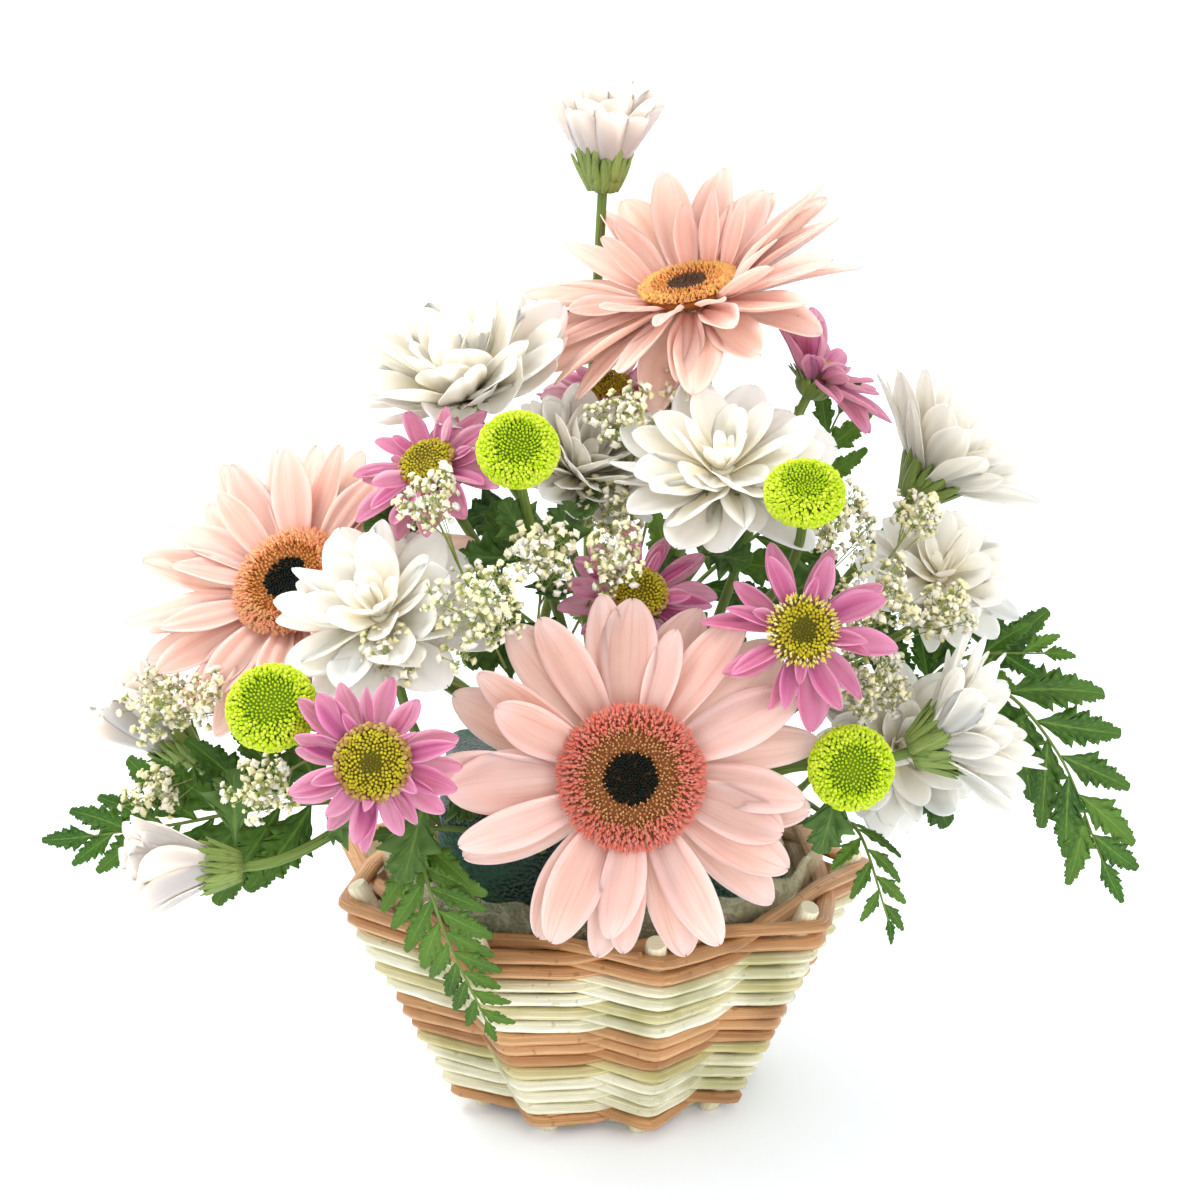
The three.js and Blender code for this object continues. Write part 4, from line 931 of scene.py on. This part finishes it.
petalLayers = {  # petals, root, lift in mm, length, rise in degrees, spread of the rise
    "gerbera": [(13, 0.24, 0.4, 0.77, -1, 5), (12, 0.23, 1.8, 0.75, 6, 5), (4, 0.22, 3.0, 0.60, 13, 6)],
    "gerbera_left": [(16, 0.24, 0.4, 0.79, 1, 4), (16, 0.23, 1.6, 0.76, 7, 4), (10, 0.22, 2.8, 0.62, 14, 5)],
    "gerbera_top": [(15, 0.24, 0.4, 0.79, 6, 5), (15, 0.23, 1.6, 0.76, 16, 6), (13, 0.24, 2.8, 0.50, 36, 8)],
    "mum": [(11, 0.12, 0.4, 0.95, -4, 10), (10, 0.11, 1.3, 0.93, 8, 11), (9, 0.10, 2.2, 0.86, 21, 12),
            (7, 0.08, 3.0, 0.72, 36, 13), (5, 0.05, 3.8, 0.54, 52, 12), (4, 0.02, 4.3, 0.36, 66, 9)],
    "bowl": [(13, 0.13, 0.4, 0.94, 14, 8), (12, 0.12, 1.3, 0.96, 28, 8), (11, 0.10, 2.3, 0.92, 43, 9),
             (8, 0.08, 3.3, 0.84, 58, 9), (6, 0.05, 4.2, 0.66, 72, 8)],
    "cup": [(14, 0.13, 0.4, 0.94, 34, 6), (13, 0.11, 1.3, 0.97, 44, 6), (11, 0.09, 2.4, 0.92, 56, 7),
            (7, 0.05, 3.2, 0.72, 70, 6)],
    "mum_tall": [(9, 0.17, 0.4, 0.78, 57, 3), (9, 0.15, 1.3, 0.82, 63, 3), (8, 0.10, 2.4, 0.80, 72, 3)],
    "bud": [(8, 0.15, 0.4, 0.98, 66, 3), (8, 0.13, 1.3, 1.0, 71, 3), (7, 0.09, 2.4, 0.95, 78, 3)],
    "daisy": [(12, 0.24, 0.3, 0.78, -4, 11), (10, 0.23, 1.1, 0.72, 10, 12), (5, 0.22, 1.9, 0.52, 28, 12)],
    "daisy_right": [(10, 0.24, 0.3, 0.84, -8, 14), (8, 0.23, 1.1, 0.74, 11, 14), (4, 0.22, 1.9, 0.5, 30, 12)],
    "daisy_top_right": [
        (12, 0.20, 0.3, 0.80, 16, 7), (11, 0.18, 1.1, 0.78, 30, 7), (7, 0.16, 1.9, 0.62, 46, 8)],
}
petalKinds = {
    "gerbera_left": "slimGerbera", "gerbera_top": "slimGerbera",
    "mum_right_top": "slimMum", "mum_right_side": "slimMum", "bowl": "mum", "cup": "mum",
}
petalFinish = {
    "gerbera_front": "peachPetal", "gerbera": "salmonPetal", "daisy": "mauvePetal", "bud": "creamPetal",
}
petalSlot = {"gerbera": "peach_petals", "daisy": "mauve_petals"}
heartTop = {"gerbera": 4.8, "daisy": 3.2, "gerbera_top": 3.2}
tilts = {  # degrees that the petals rise on one side and fall on the other, and that side
    "gerbera_top": (20.0, (0.6, 0.8, 0)), "daisy_top_right": (32.0, (-1, 0.2, 0)),
    "gerbera_front": (6.0, (0, 0, -1)), "mum_left": (7.0, (0, 0.5, 1)),
}
discs = {  # floret, finish, count, from, to, inner and outer size, lean
    "gerbera": [
        ("bud", "darkEye", 230, 0.0, 0.31, 0.74, 0.84, 0.4),
        ("ring", "goldRing", 540, 0.28, 0.66, 0.62, 0.78, 0.7),
        ("fringe", "coralFringe", 980, 0.52, 1.0, 0.62, 0.95, 1.1)],
    "gerbera_left": [
        ("bud", "darkEye", 210, 0.0, 0.33, 0.7, 0.8, 0.4),
        ("ring", "amberRing", 480, 0.31, 0.74, 0.6, 0.78, 0.7),
        ("fringe", "amberFringe", 760, 0.54, 1.0, 0.66, 0.92, 1.1)],
    "gerbera_top": [
        ("bud", "brownEye", 200, 0.0, 0.38, 0.66, 0.76, 0.4),
        ("ring", "amberRing", 420, 0.36, 0.86, 0.62, 0.8, 0.6),
        ("fringe", "goldFringe", 520, 0.66, 1.0, 0.66, 0.9, 0.8)],
    "daisy": [
        ("bead", "oliveFloret", 190, 0.0, 0.8, 0.4, 0.72, 0.8),
        ("bead", "tanFloret", 80, 0.8, 1.0, 0.7, 0.85, 1.0)],
    "daisy_front_left": [
        ("bead", "mossEye", 50, 0.0, 0.28, 0.38, 0.5, 0.6),
        ("bead", "oliveFloret", 250, 0.22, 0.76, 0.48, 0.72, 0.8),
        ("bead", "tanFloret", 120, 0.74, 1.0, 0.8, 1.0, 1.0)],
    "daisy_right": [
        ("bead", "mossEye", 60, 0.0, 0.34, 0.4, 0.5, 0.5),
        ("bead", "oliveFloret", 130, 0.3, 0.66, 0.6, 0.75, 0.8),
        ("ring", "creamFloret", 120, 0.6, 1.0, 0.75, 1.0, 1.0)],
    "button": [
        ("quill", "limeHeart", 330, 0.0, 0.52, 0.55, 0.98, 1),
        ("quill", "limeRim", 760, 0.34, 1.0, 0.72, 1.2, 1)],
}
discForm = {  # radius, height, sweep in degrees, dip and its share
    "gerbera": (0.36, 5.0, 74, 3.0, 0.34), "gerbera_left": (0.32, 5.0, 74, 3.0, 0.36),
    "gerbera_top": (0.28, 3.6, 66, 2.2, 0.4), "daisy": (0.34, 3.4, 78, 1.2, 0.25),
    "daisy_right": (0.36, 4.4, 80, 4.3, 0.42), "daisy_front_left": (0.42, 3.8, 76, 1.6, 0.22),
    "button": (0.80, 0.50, 116, 0.22, 0.30),
}


def own(table, name, kind, otherwise=None):
    # what a table says of this bloom, or else of its kind
    return table.get(name, table.get(kind, otherwise))


def facing(name):
    _, at, faces, _, turn = blooms[name]
    spin = Vector((0, 0, 1)).rotation_difference(Vector(faces).normalized()).to_matrix().to_4x4()
    return Matrix.Translation(at) @ spin @ Matrix.Rotation(radians(turn), 4, "Z")


def camel(name):
    first, *rest = name.split("_")
    return first + "".join(word.capitalize() for word in rest)


def whorls(shelfName, layers, size, seed, look, tilt=0.0, tiltWay=0.0):
    loose = shelfName == "daisy"
    return [grow(petalWhorl, {
        "Petals": petalShelves[shelfName], "Count": count, "Root": root * size, "Lift": lift,
        "Length": length * size, "Length Spread": 0.17 if loose else 0.10,
        "Rise": radians(rise), "Rise Spread": radians(spread),
        "Tilt": radians(tilt), "Tilt Way": tiltWay,
        "Turn": i * 2.4 + seed, "Turn Spread": 0.32 / count * pi, "Roll Spread": 0.6 if loose else 0.38,
        "Seed": seed * 13 + i, "Material": finishes[look],
    }) for i, (count, root, lift, length, rise, spread) in enumerate(layers)]


def floretDisc(name, kind, size, seed, base):
    radius, height, sweep, dip, dipShare = own(discForm, name, kind)
    scale = size if kind == "button" else 1.0
    return [placed(grow(floretHead, {
        "Floret": florets[floret], "Count": count, "From": low, "To": high, "Radius": radius * size,
        "Height": height * scale, "Sweep": radians(sweep), "Dip": dip * scale, "Dip Share": dipShare,
        "Lean": lean, "Inner Size": inner, "Outer Size": outer, "Size Spread": 0.15,
        "Seed": seed * 7 + i, "Material": finishes[look],
    }), Matrix.Translation((0, 0, base)))
        for i, (floret, look, count, low, high, inner, outer, lean) in enumerate(own(discs, name, kind))]


def buttonParts(name, size, seed):
    core = []
    for a in np.linspace(0.2, 3.0, 14):
        dip = size * 0.18 * exp(-((3.14 - a) / 0.6) ** 2)
        core.append(circle(size * 0.78 * sin(a), size * (0.40 - 0.46 * cos(a)) - dip, 24))
    parts = [ringMesh("core", core, finishes["limeFloret"])]
    return parts + floretDisc(name, "button", size, seed, size * 0.40)


def discParts(name, kind, size, seed):
    radius, height, sweep, dip, dipShare = own(discForm, name, kind)
    base = own(heartTop, name, kind)
    dome = [circle(radius * size * 0.8, base - 1.6, 30)]
    for share in (1.0, 0.94, 0.86, 0.74, 0.62, 0.5, 0.4, 0.3, 0.2, 0.1):
        bend = radians(sweep) * share
        level = base + height * cos(bend) - dip * exp(-(share / dipShare) ** 2) - 0.5
        dome.append(circle(radius * size * 0.97 * sin(bend), level, 30))
    bed = own(discs, name, kind)[1][1] if kind == "gerbera" else "oliveFloret"
    return [ringMesh("dome", dome, finishes[bed])] + floretDisc(name, kind, size, seed, base)


def petalParts(name, kind, size, seed, place):
    look = own(petalFinish, name, kind, "whitePetal")
    tilt, side = tilts.get(name, (0.0, (1, 0, 0)))
    side = place.to_3x3().inverted() @ Vector(side)
    shelfName = own(petalKinds, name, kind, kind)
    parts = whorls(shelfName, own(petalLayers, name, kind), size, seed, look, tilt, atan2(side.y, side.x))
    # the short body that the petals grow from
    reach, top = size * (0.25 if kind in heartTop else 0.13), own(heartTop, name, kind, 5.4) - 1.0
    levels = ((0.5, 0.0), (0.95, 0.4), (1.0, top * 0.6), (0.8, top))
    heart = [circle(reach * share, z, 20) for share, z in levels]
    return parts + [ringMesh("heart", heart, finishes[look])]


def makeBlooms():
    for seed, (name, (kind, _, _, size, _)) in enumerate(blooms.items(), 1):
        place = facing(name)
        pieces = []  # part, meshes, slot
        if kind == "button":
            pieces.append(("head", buttonParts(name, size, seed), "lime_florets"))
        else:
            slot = petalSlot.get(kind, "white_petals")
            pieces.append(("petals", petalParts(name, kind, size, seed, place), slot))
        if kind in heartTop:
            pieces.append(("disc", discParts(name, kind, size, seed), kind + "_florets"))
        for part, meshes, slot in pieces:
            node = f"{name}_{part}"
            nodes = [node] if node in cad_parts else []  # two discs are in this script alone
            finish(camel(node), [placed(mesh, place) for mesh in meshes], nodes)


makeBlooms()
print("blooms ready")


heartPoint = Vector((0, 0, 64))  # all cut stems aim at it in the foam
stemRoot = 17.0
stemKinds = {  # calyx radius and height, stem radius
    "gerbera": (0.15, 7.0, 2.4), "mum": (0.21, 5.0, 1.3), "bowl": (0.21, 5.5, 1.3), "cup": (0.24, 6.0, 1.4),
    "bud": (0.24, 6.0, 1.4), "daisy": (0.25, 4.5, 1.3), "button": (0.4, 3.5, 1.3),
}
# the way out of the foam in degrees, where it forks, the blooms, and leaves: tip and the side it shows
stems = {
    "gerbera_front_stem": ((5, 44), 48, ["gerbera_front"], []),
    "gerbera_left_stem": ((-112, 52), 46, ["gerbera_left"], []),
    "gerbera_top_stem": ((110, 78), 46, ["gerbera_top"], []),
    "white_spray_tall": ((186, 66), 60, ["mum_tall", "mum_upper_left"], [
        ((-6, 14, 222), (0, -1, 0.3)), ((-54, 4, 178), (0, -1, 0.4)), ((-34, -8, 172), (0.3, -0.9, 0.3))]),
    "white_spray_middle": ((16, 72), 60, ["mum_centre", "mum_behind_button"], [
        ((18, -44, 168), (0, -0.7, 0.7)), ((36, -58, 172), (0.2, -0.9, 0.3)),
        ((-2, -40, 184), (0, -0.9, 0.4)), ((4, -38, 150), (0.2, -0.9, 0.3))]),
    "white_spray_right": ((100, 50), 52, ["mum_right_top", "mum_right"], [
        ((112, -8, 140), (0.2, -0.8, 0.5))]),
    "white_spray_low_right": ((58, 36), 60, ["mum_right_side", "mum_right_low"], [
        ((96, -48, 98), (0.2, -0.8, 0.5))]),
    "white_spray_left": ((-54, 36), 58, ["mum_left", "mum_left_low", "mum_left_back"], [
        ((-98, -50, 112), (-0.3, -0.8, 0.5)), ((-66, -76, 106), (-0.2, -0.9, 0.4))]),
    "mauve_spray_left": ((-33, 36), 55, ["daisy_front_left", "button_left"], [
        ((-33, -80, 113), (0, -0.9, 0.3)), ((-50, -84, 94), (-0.3, -0.9, 0.3)),
        ((-17, -72, 104), (0.1, -0.9, 0.3))]),
    "mauve_spray_upper": ((-75, 74), 58, ["daisy_upper_left", "daisy_behind"], [
        ((-60, -46, 176), (-0.2, -0.8, 0.5)), ((-26, -20, 176), (0.2, -0.9, 0.3))]),
    "mauve_spray_right": ((34, 42), 52, ["daisy_right", "button_low"], [
        ((46, -78, 138), (0.2, -0.9, 0.4)), ((60, -84, 100), (0.3, -0.9, 0.2))]),
    "mauve_spray_top": ((60, 64), 56, ["daisy_top_right", "button_right"], [
        ((60, -48, 166), (0.2, -0.9, 0.3))]),
    "mauve_spray_middle": ((-8, 62), 54, ["daisy_centre", "button_upper"], [
        ((-10, -42, 182), (0, -0.8, 0.5)), ((-34, -62, 150), (-0.2, -0.9, 0.4)),
        ((-14, -64, 166), (0, -0.9, 0.4)), ((-36, -50, 172), (-0.3, -0.9, 0.3)),
        ((-24, -52, 184), (0.2, -0.9, 0.3))]),
}
bendsSharply = {"mum_left": 0.12}
calyx = ((0.0, 0.24), (0.12, 0.5), (0.3, 0.74), (0.6, 0.93), (1.0, 0.98))  # shares of its height and radius
bractLayers = {  # bracts, root, lift as a share of the calyx, length, rise in degrees
    "gerbera": [(30, 0.13, 0.55, 0.17, 34), (26, 0.10, 0.1, 0.17, 62)],
    "mum": [(18, 0.17, 0.7, 0.25, 22), (16, 0.12, 0.1, 0.28, 44)],
    "bud": [(18, 0.215, 0.55, 0.36, 70), (16, 0.15, 0.0, 0.42, 58)],
    "cup": [(18, 0.21, 0.6, 0.36, 56), (16, 0.15, 0.0, 0.42, 52)],
    "button": [(18, 0.3, 0.5, 0.55, 30)],
}
# at a length of 1
leafParts = ("width", "lobes", "cut", "slant", "stalk", "arch", "rows", "thick")
leafShapes = {
    "pinna": (0.58, 5, 0.55, 0.9, 0.03, 0.10, 46, 0.014),
    "slimPinna": (0.50, 4, 0.5, 1.0, 0.04, 0.16, 42, 0.02),
    "mumLeaf": (0.80, 3, 0.72, 0.9, 0.24, 0.16, 46, 0.014),
}
leafShapes = {kind: dict(zip(leafParts, sizes)) for kind, sizes in leafShapes.items()}


def wayOut(roundBy, rise):
    return polar(cos(radians(rise)), radians(roundBy - 90), sin(radians(rise)))


def trunk(way, end, steps, radius):
    return [(heartPoint + way * d, radius) for d in np.linspace(stemRoot, end, steps)]


def bezier(a, b, c, d, steps):
    shares = [i / steps for i in range(steps + 1)]
    return [
        a * (1 - t) ** 3 + b * 3 * t * (1 - t) ** 2 + c * 3 * t * t * (1 - t) + d * t ** 3
        for t in shares
    ]


def lobedGrid(shape, rng, columns=9):
    # a flat lobed and toothed blade along X; the sides slide forward, so that the lobes point to the tip
    u = np.linspace(0, 1, shape["rows"])
    v = np.linspace(-1, 1, columns)
    t = np.clip((u - shape["stalk"]) / (1 - shape["stalk"]), 0, 1)
    envelope = np.minimum(1, t / 0.22 + 0.25) ** 0.7 * np.clip(1.04 - t, 0, 1) ** 0.75
    phase = rng.uniform(-0.06, 0.06)
    lobe = 1 - shape["cut"] * (1 - ((t * shape["lobes"] + phase) % 1) ** 0.7) * (1 - 0.35 * t)
    tooth = 1 - 0.16 * ((t * shape["lobes"] * 3) % 1 < 0.34)
    half = np.where(t > 0, envelope * lobe * tooth, 0.0) * shape["width"] / 2 * rng.uniform(0.9, 1.08) + 0.010
    half[-1] = 0.004
    bend = rng.uniform(-0.12, 0.12)
    grid = np.zeros((len(u), columns, 3))
    for j, across in enumerate(v):
        slide = abs(across) * shape["slant"] * envelope * shape["width"] / 2 * (t > 0)
        x = u + np.minimum(slide, (1 - u) * 0.8)
        ripple = 0.018 * np.sin(t * shape["lobes"] * 2 * pi + 0.8) * abs(across) ** 1.5
        grid[:, j, 0] = x
        grid[:, j, 1] = half * across + bend * x ** 2
        grid[:, j, 2] = 0.22 * half * abs(across) + ripple * envelope - shape["arch"] * x ** 2
    return grid, np.stack(np.meshgrid(t, v, indexing="ij"), -1)


def leafBlade(name, rng):
    shape = leafShapes[name]
    mesh = bladeMesh(name, *lobedGrid(shape, rng), shape["thick"])
    addAttribute(mesh, "tone", [rng.uniform(0.2, 0.8)] * len(mesh.vertices))
    return mesh


def leafAt(kind, rng, start, along, face, length, look):
    # one leaf from its foot, along a way, with its face turned to the light
    across = Vector(face).cross(along).normalized()
    turn = Matrix((along, across, along.cross(across))).transposed().to_4x4()
    leaf = placed(leafBlade(kind, rng), Matrix.Translation(start) @ turn @ Matrix.Scale(length, 4))
    leaf.materials.append(finishes[look])
    return leaf


def makeStems():
    for number, (name, (out, fork, carries, leaves)) in enumerate(stems.items()):
        way = wayOut(*out)
        start = heartPoint + way * (fork - 2)
        paths = [trunk(way, fork + 1, 8, max(stemKinds[blooms[bloom][0]][2] for bloom in carries) * 1.12)]
        parts = []
        for i, bloom in enumerate(carries):
            kind, at, faces, size, _ = blooms[bloom]
            calyxRadius, calyxHeight, radius = stemKinds[kind]
            face = Vector(faces).normalized()
            end = Vector(at) - face * (calyxHeight + 0.3)
            reach = (end - start).length
            hook = reach * bendsSharply.get(bloom, 0.35)
            curve = bezier(start, start + way * reach * 0.4, end - face * hook, end, 22)
            paths.append([(p, radius * (1.12 - 0.12 * j / 22)) for j, p in enumerate(curve)])
            cup = [(end + face * calyxHeight * share, calyxRadius * size * wide) for share, wide in calyx]
            paths.append([(end - face * 0.6, radius)] + cup)
            bracts = [
                (count, root, lift * calyxHeight, length, rise, 5)
                for count, root, lift, length, rise in bractLayers.get(kind, bractLayers["mum"])
            ]
            under = facing(bloom) @ Matrix.Translation((0, 0, -calyxHeight))
            ruff = whorls("bract", bracts, size, 50 + number * 4 + i, "bractGreen")
            parts += [placed(mesh, under) for mesh in ruff]
        joints = [p for path in paths[1:] for p, _ in path]
        for i, (tip, face) in enumerate(leaves):
            tip = Vector(tip)
            foot = min(joints, key=lambda p: abs((p - tip).length - 24) + max(0, p.z - tip.z) * 0.8)
            along = tip - foot
            rng = random.Random(number * 5 + i)
            parts.append(leafAt("mumLeaf", rng, foot, along.normalized(), face, along.length, "mumLeaf"))
        finish(camel(name), [swept(paths, finishes["stemGreen"], 12)] + parts, [name])


makeStems()
print("stems ready")


ferns = {  # the way out, fork, and fronds: knots, the way the blade looks, leafy from, reach, pairs, leaflet
    "fern_left": ((-74, 24), 60, [
        (((-90, -34, 95), (-116, -40, 92), (-137, -46, 91)), (0, -0.95, 0.3), 0.30, 34, 7, "pinna"),
    ]),
    "fern_front": ((-22, 26), 56, [
        (((-46, -68, 100), (-42, -79, 80), (-30, -77, 50)), (-0.3, -0.9, 0.4), 0.36, 19, 10, "slimPinna"),
    ]),
    "fern_right": ((80, 26), 56, [
        (((82, 0, 118), (108, -8, 122), (126, -20, 106), (138, -30, 78)), (0.2, -0.9, 0.5),
         0.30, 33, 8, "pinna"),
        (((84, 2, 112), (100, -10, 130), (122, -18, 134)), (0.2, -0.9, 0.5), 0.34, 22, 6, "pinna"),
        (((62, -32, 92), (69, -58, 96), (76, -73, 77)), (0.3, -0.8, 0.5), 0.46, 17, 6, "slimPinna"),
    ]),
    "fern_back": ((180, 45), 56, [
        (((8, 70, 124), (12, 100, 116)), (0, 0.2, 1), 0.30, 23, 5, "pinna"),
        (((-36, 54, 134), (-76, 58, 158)), (0.4, 0.3, 0.85), 0.36, 22, 6, "pinna"),
        (((30, 38, 140), (54, 22, 166), (66, 6, 196)), (0, -0.9, 0.3), 0.30, 30, 7, "slimPinna"),
    ]),
}


def smoothPath(knots, perSpan):
    # a curve through all the knots
    knots = [Vector(k) for k in knots]
    ends = [knots[0] * 2 - knots[1], *knots, knots[-1] * 2 - knots[-2]]
    points = []
    for before, a, b, after in zip(ends, ends[1:], ends[2:], ends[3:]):
        for t in (j / perSpan for j in range(perSpan)):
            points.append((a * 2 + (b - before) * t + (before * 2 - a * 5 + b * 4 - after) * t * t
                           + (a * 3 - before - b * 3 + after) * t ** 3) / 2)
    return points + [knots[-1]]


def makeFerns():
    rng = random.Random(5)
    shelves = {}
    for kind in ("pinna", "slimPinna"):
        shelves[kind] = shelf(kind + "Shapes", [leafBlade(kind, rng) for _ in range(6)])
    for number, (name, (out, fork, fronds)) in enumerate(ferns.items()):
        way = wayOut(*out)
        paths = [trunk(way, fork + 1, 6, 1.3)]
        blades = []
        for i, (knots, face, leafy, reach, pairs, kind) in enumerate(fronds):
            base = heartPoint + way * (fork - 2) - way * 1.7 * i
            rib = smoothPath([base, base + way * 9, *knots], 9)
            paths.append([(p, 1.15 * (1 - 0.8 * j / len(rib))) for j, p in enumerate(rib)])
            tipShare = 0.36 if name == "fern_left" else 0.5
            blades.append(grow(leafletsAlong, {
                "Leaflets": shelves[kind], "Pairs": pairs, "Start": leafy, "Face": face,
                "Angle": 1.05, "Tip Angle": 0.5, "Reach": float(reach), "Tip Reach": reach * tipShare,
                "First Reach": 0.85, "Droop": 0.06, "Seed": 3 + number * 5 + i,
                "Material": finishes["fernGreen"],
            }, plainMesh("rib", rib, edges=chain(0, len(rib)))))
            along = (rib[-1] - rib[-2]).normalized()
            blades.append(leafAt(kind, rng, rib[-1] - along, along, face, reach * 0.42, "fernGreen"))
        finish(camel(name), [swept(paths, finishes["stemGreen"], 8)] + blades, [name])


makeFerns()
print("fern ready")


breathFork = 59.0
breath = {  # the way out, and tufts: middle and radius
    "breath_left": ((-94, 30), [
        ((-118, -36, 124), 13), ((-88, -70, 112), 11), ((-104, -46, 130), 10), ((-120, -42, 102), 9)]),
    "breath_centre": ((-24, 52), [
        ((-31, -78, 163), 17), ((-44, -62, 188), 11), ((-14, -62, 174), 12), ((4, -62, 173), 10),
        ((-54, -74, 150), 10)]),
    "breath_top": ((50, 84), [((7, -31, 203), 12), ((22, -25, 207), 10), ((2, -34, 178), 11)]),
    "breath_right": ((66, 46), [
        ((63, -36, 176), 13), ((72, -52, 158), 14), ((72, -54, 136), 13),
        ((92, -40, 152), 10), ((86, -22, 174), 9)]),
}


def ballPoint(i, count, rng):
    climb = 1 - 2 * (i + 0.5) / count
    return polar(sqrt(1 - climb * climb), i * goldenTurn + rng.uniform(-0.3, 0.3), climb)


def makeBreath(name, way, tufts, seed):
    rng = random.Random(70 + seed)
    start = heartPoint + way * (breathFork - 3)
    paths = [trunk(way, breathFork, 6, 1.1)]
    tips, aims, sizes = [], [], []
    for middle, size in tufts:
        middle = Vector(middle)
        bend = start + way * (middle - start).length * 0.35
        twig = [start * (1 - t) ** 2 + bend * 2 * t * (1 - t) + middle * t * t for t in np.linspace(0, 1, 12)]
        paths.append([(p, 0.7 - 0.4 * i / 11) for i, p in enumerate(twig)])
        branchlets = round(size * 0.75)
        for i in range(branchlets):
            cloud = middle + ballPoint(i, branchlets, rng) * size * rng.uniform(0.4, 0.72)
            root = twig[-1 - i % 3]
            paths.append([(root, 0.2), (root.lerp(cloud, 0.5) + way * size * 0.05, 0.17), (cloud, 0.14)])
            for j in range(6):
                knee = cloud + ballPoint(j, 6, rng) * size * 0.17
                paths.append([(cloud, 0.12), (knee, 0.10)])
                for _ in range(3):
                    spread = Vector([rng.uniform(-1, 1) for _ in range(3)])
                    end = knee + spread * size * 0.13 + way * size * 0.05
                    paths.append([(knee, 0.10), (end, 0.09)])
                    tips.append(end)
                    aims.append((end - cloud).normalized())
                    sizes.append(rng.choice((0.55, 0.8, 1.0, 1.3)) * rng.uniform(0.85, 1.1))
    settings = {"Floret": florets["breath"], "Seed": seed, "Material": finishes["breathWhite"]}
    tufted = grow(floretsOnTips, settings, plainMesh("tips", tips, aim=aims, size=sizes))
    finish(camel(name), [swept(paths, finishes["twigOlive"], 5), tufted], [name])


for seed, (name, (out, tufts)) in enumerate(breath.items()):
    makeBreath(name, wayOut(*out), tufts, seed)
print("baby's breath ready")


def makeFloor():
    surface = {
        "Base Color": (0.90, 0.945, 1.0, 1), "Roughness": 0.9, "Emission Color": (0.8, 0.9, 1.0, 1),
        "Emission Strength": 0.08, "Specular IOR Level": 0.1,
    }
    corners = [(-15, -15, 0), (15, -15, 0), (15, 15, 0), (-15, 15, 0)]
    mesh = plainMesh("floor", corners, [(0, 1, 2, 3)], material=startMaterial("paleFloor", surface)[0])
    floor = addObject("floor", mesh)


def areaLight(name, place, target, size, power, colour):
    light = bpy.data.lights.new(name, "AREA")
    light.shape = "DISK"
    light.size = size
    light.energy = power
    light.color = colour
    lamp = addObject(name, light)
    lamp.location = place
    lamp.rotation_euler = (Vector(target) - Vector(place)).to_track_quat("-Z", "Y").to_euler()


makeFloor()
areaLight("keyLight", (-0.9, 0.3, 1.5), (0, 0, 0.12), 0.9, 22, (1.0, 0.992, 0.98))
areaLight("fillLight", (0.7, -1.6, 0.9), (0, 0, 0.14), 1.4, 12, (1.0, 0.997, 0.99))
scene.world = bpy.data.worlds.new("studio")
scene.world.use_nodes = True
sky = scene.world.node_tree.nodes["Background"].inputs
sky["Color"].default_value = (0.97, 0.985, 1.0, 1)
sky["Strength"].default_value = 1.2

camera = addObject("camera", bpy.data.cameras.new("camera"))
camera.data.lens = 108
camera.data.sensor_width = 36
camera.data.clip_end = 60
camera.location = (0, -0.9613, 0.4196)
camera.rotation_euler = (radians(74), 0, 0)
scene.camera = camera
scene.view_settings.view_transform = "Standard"
print("stage ready")

bpy.context.view_layer.update()
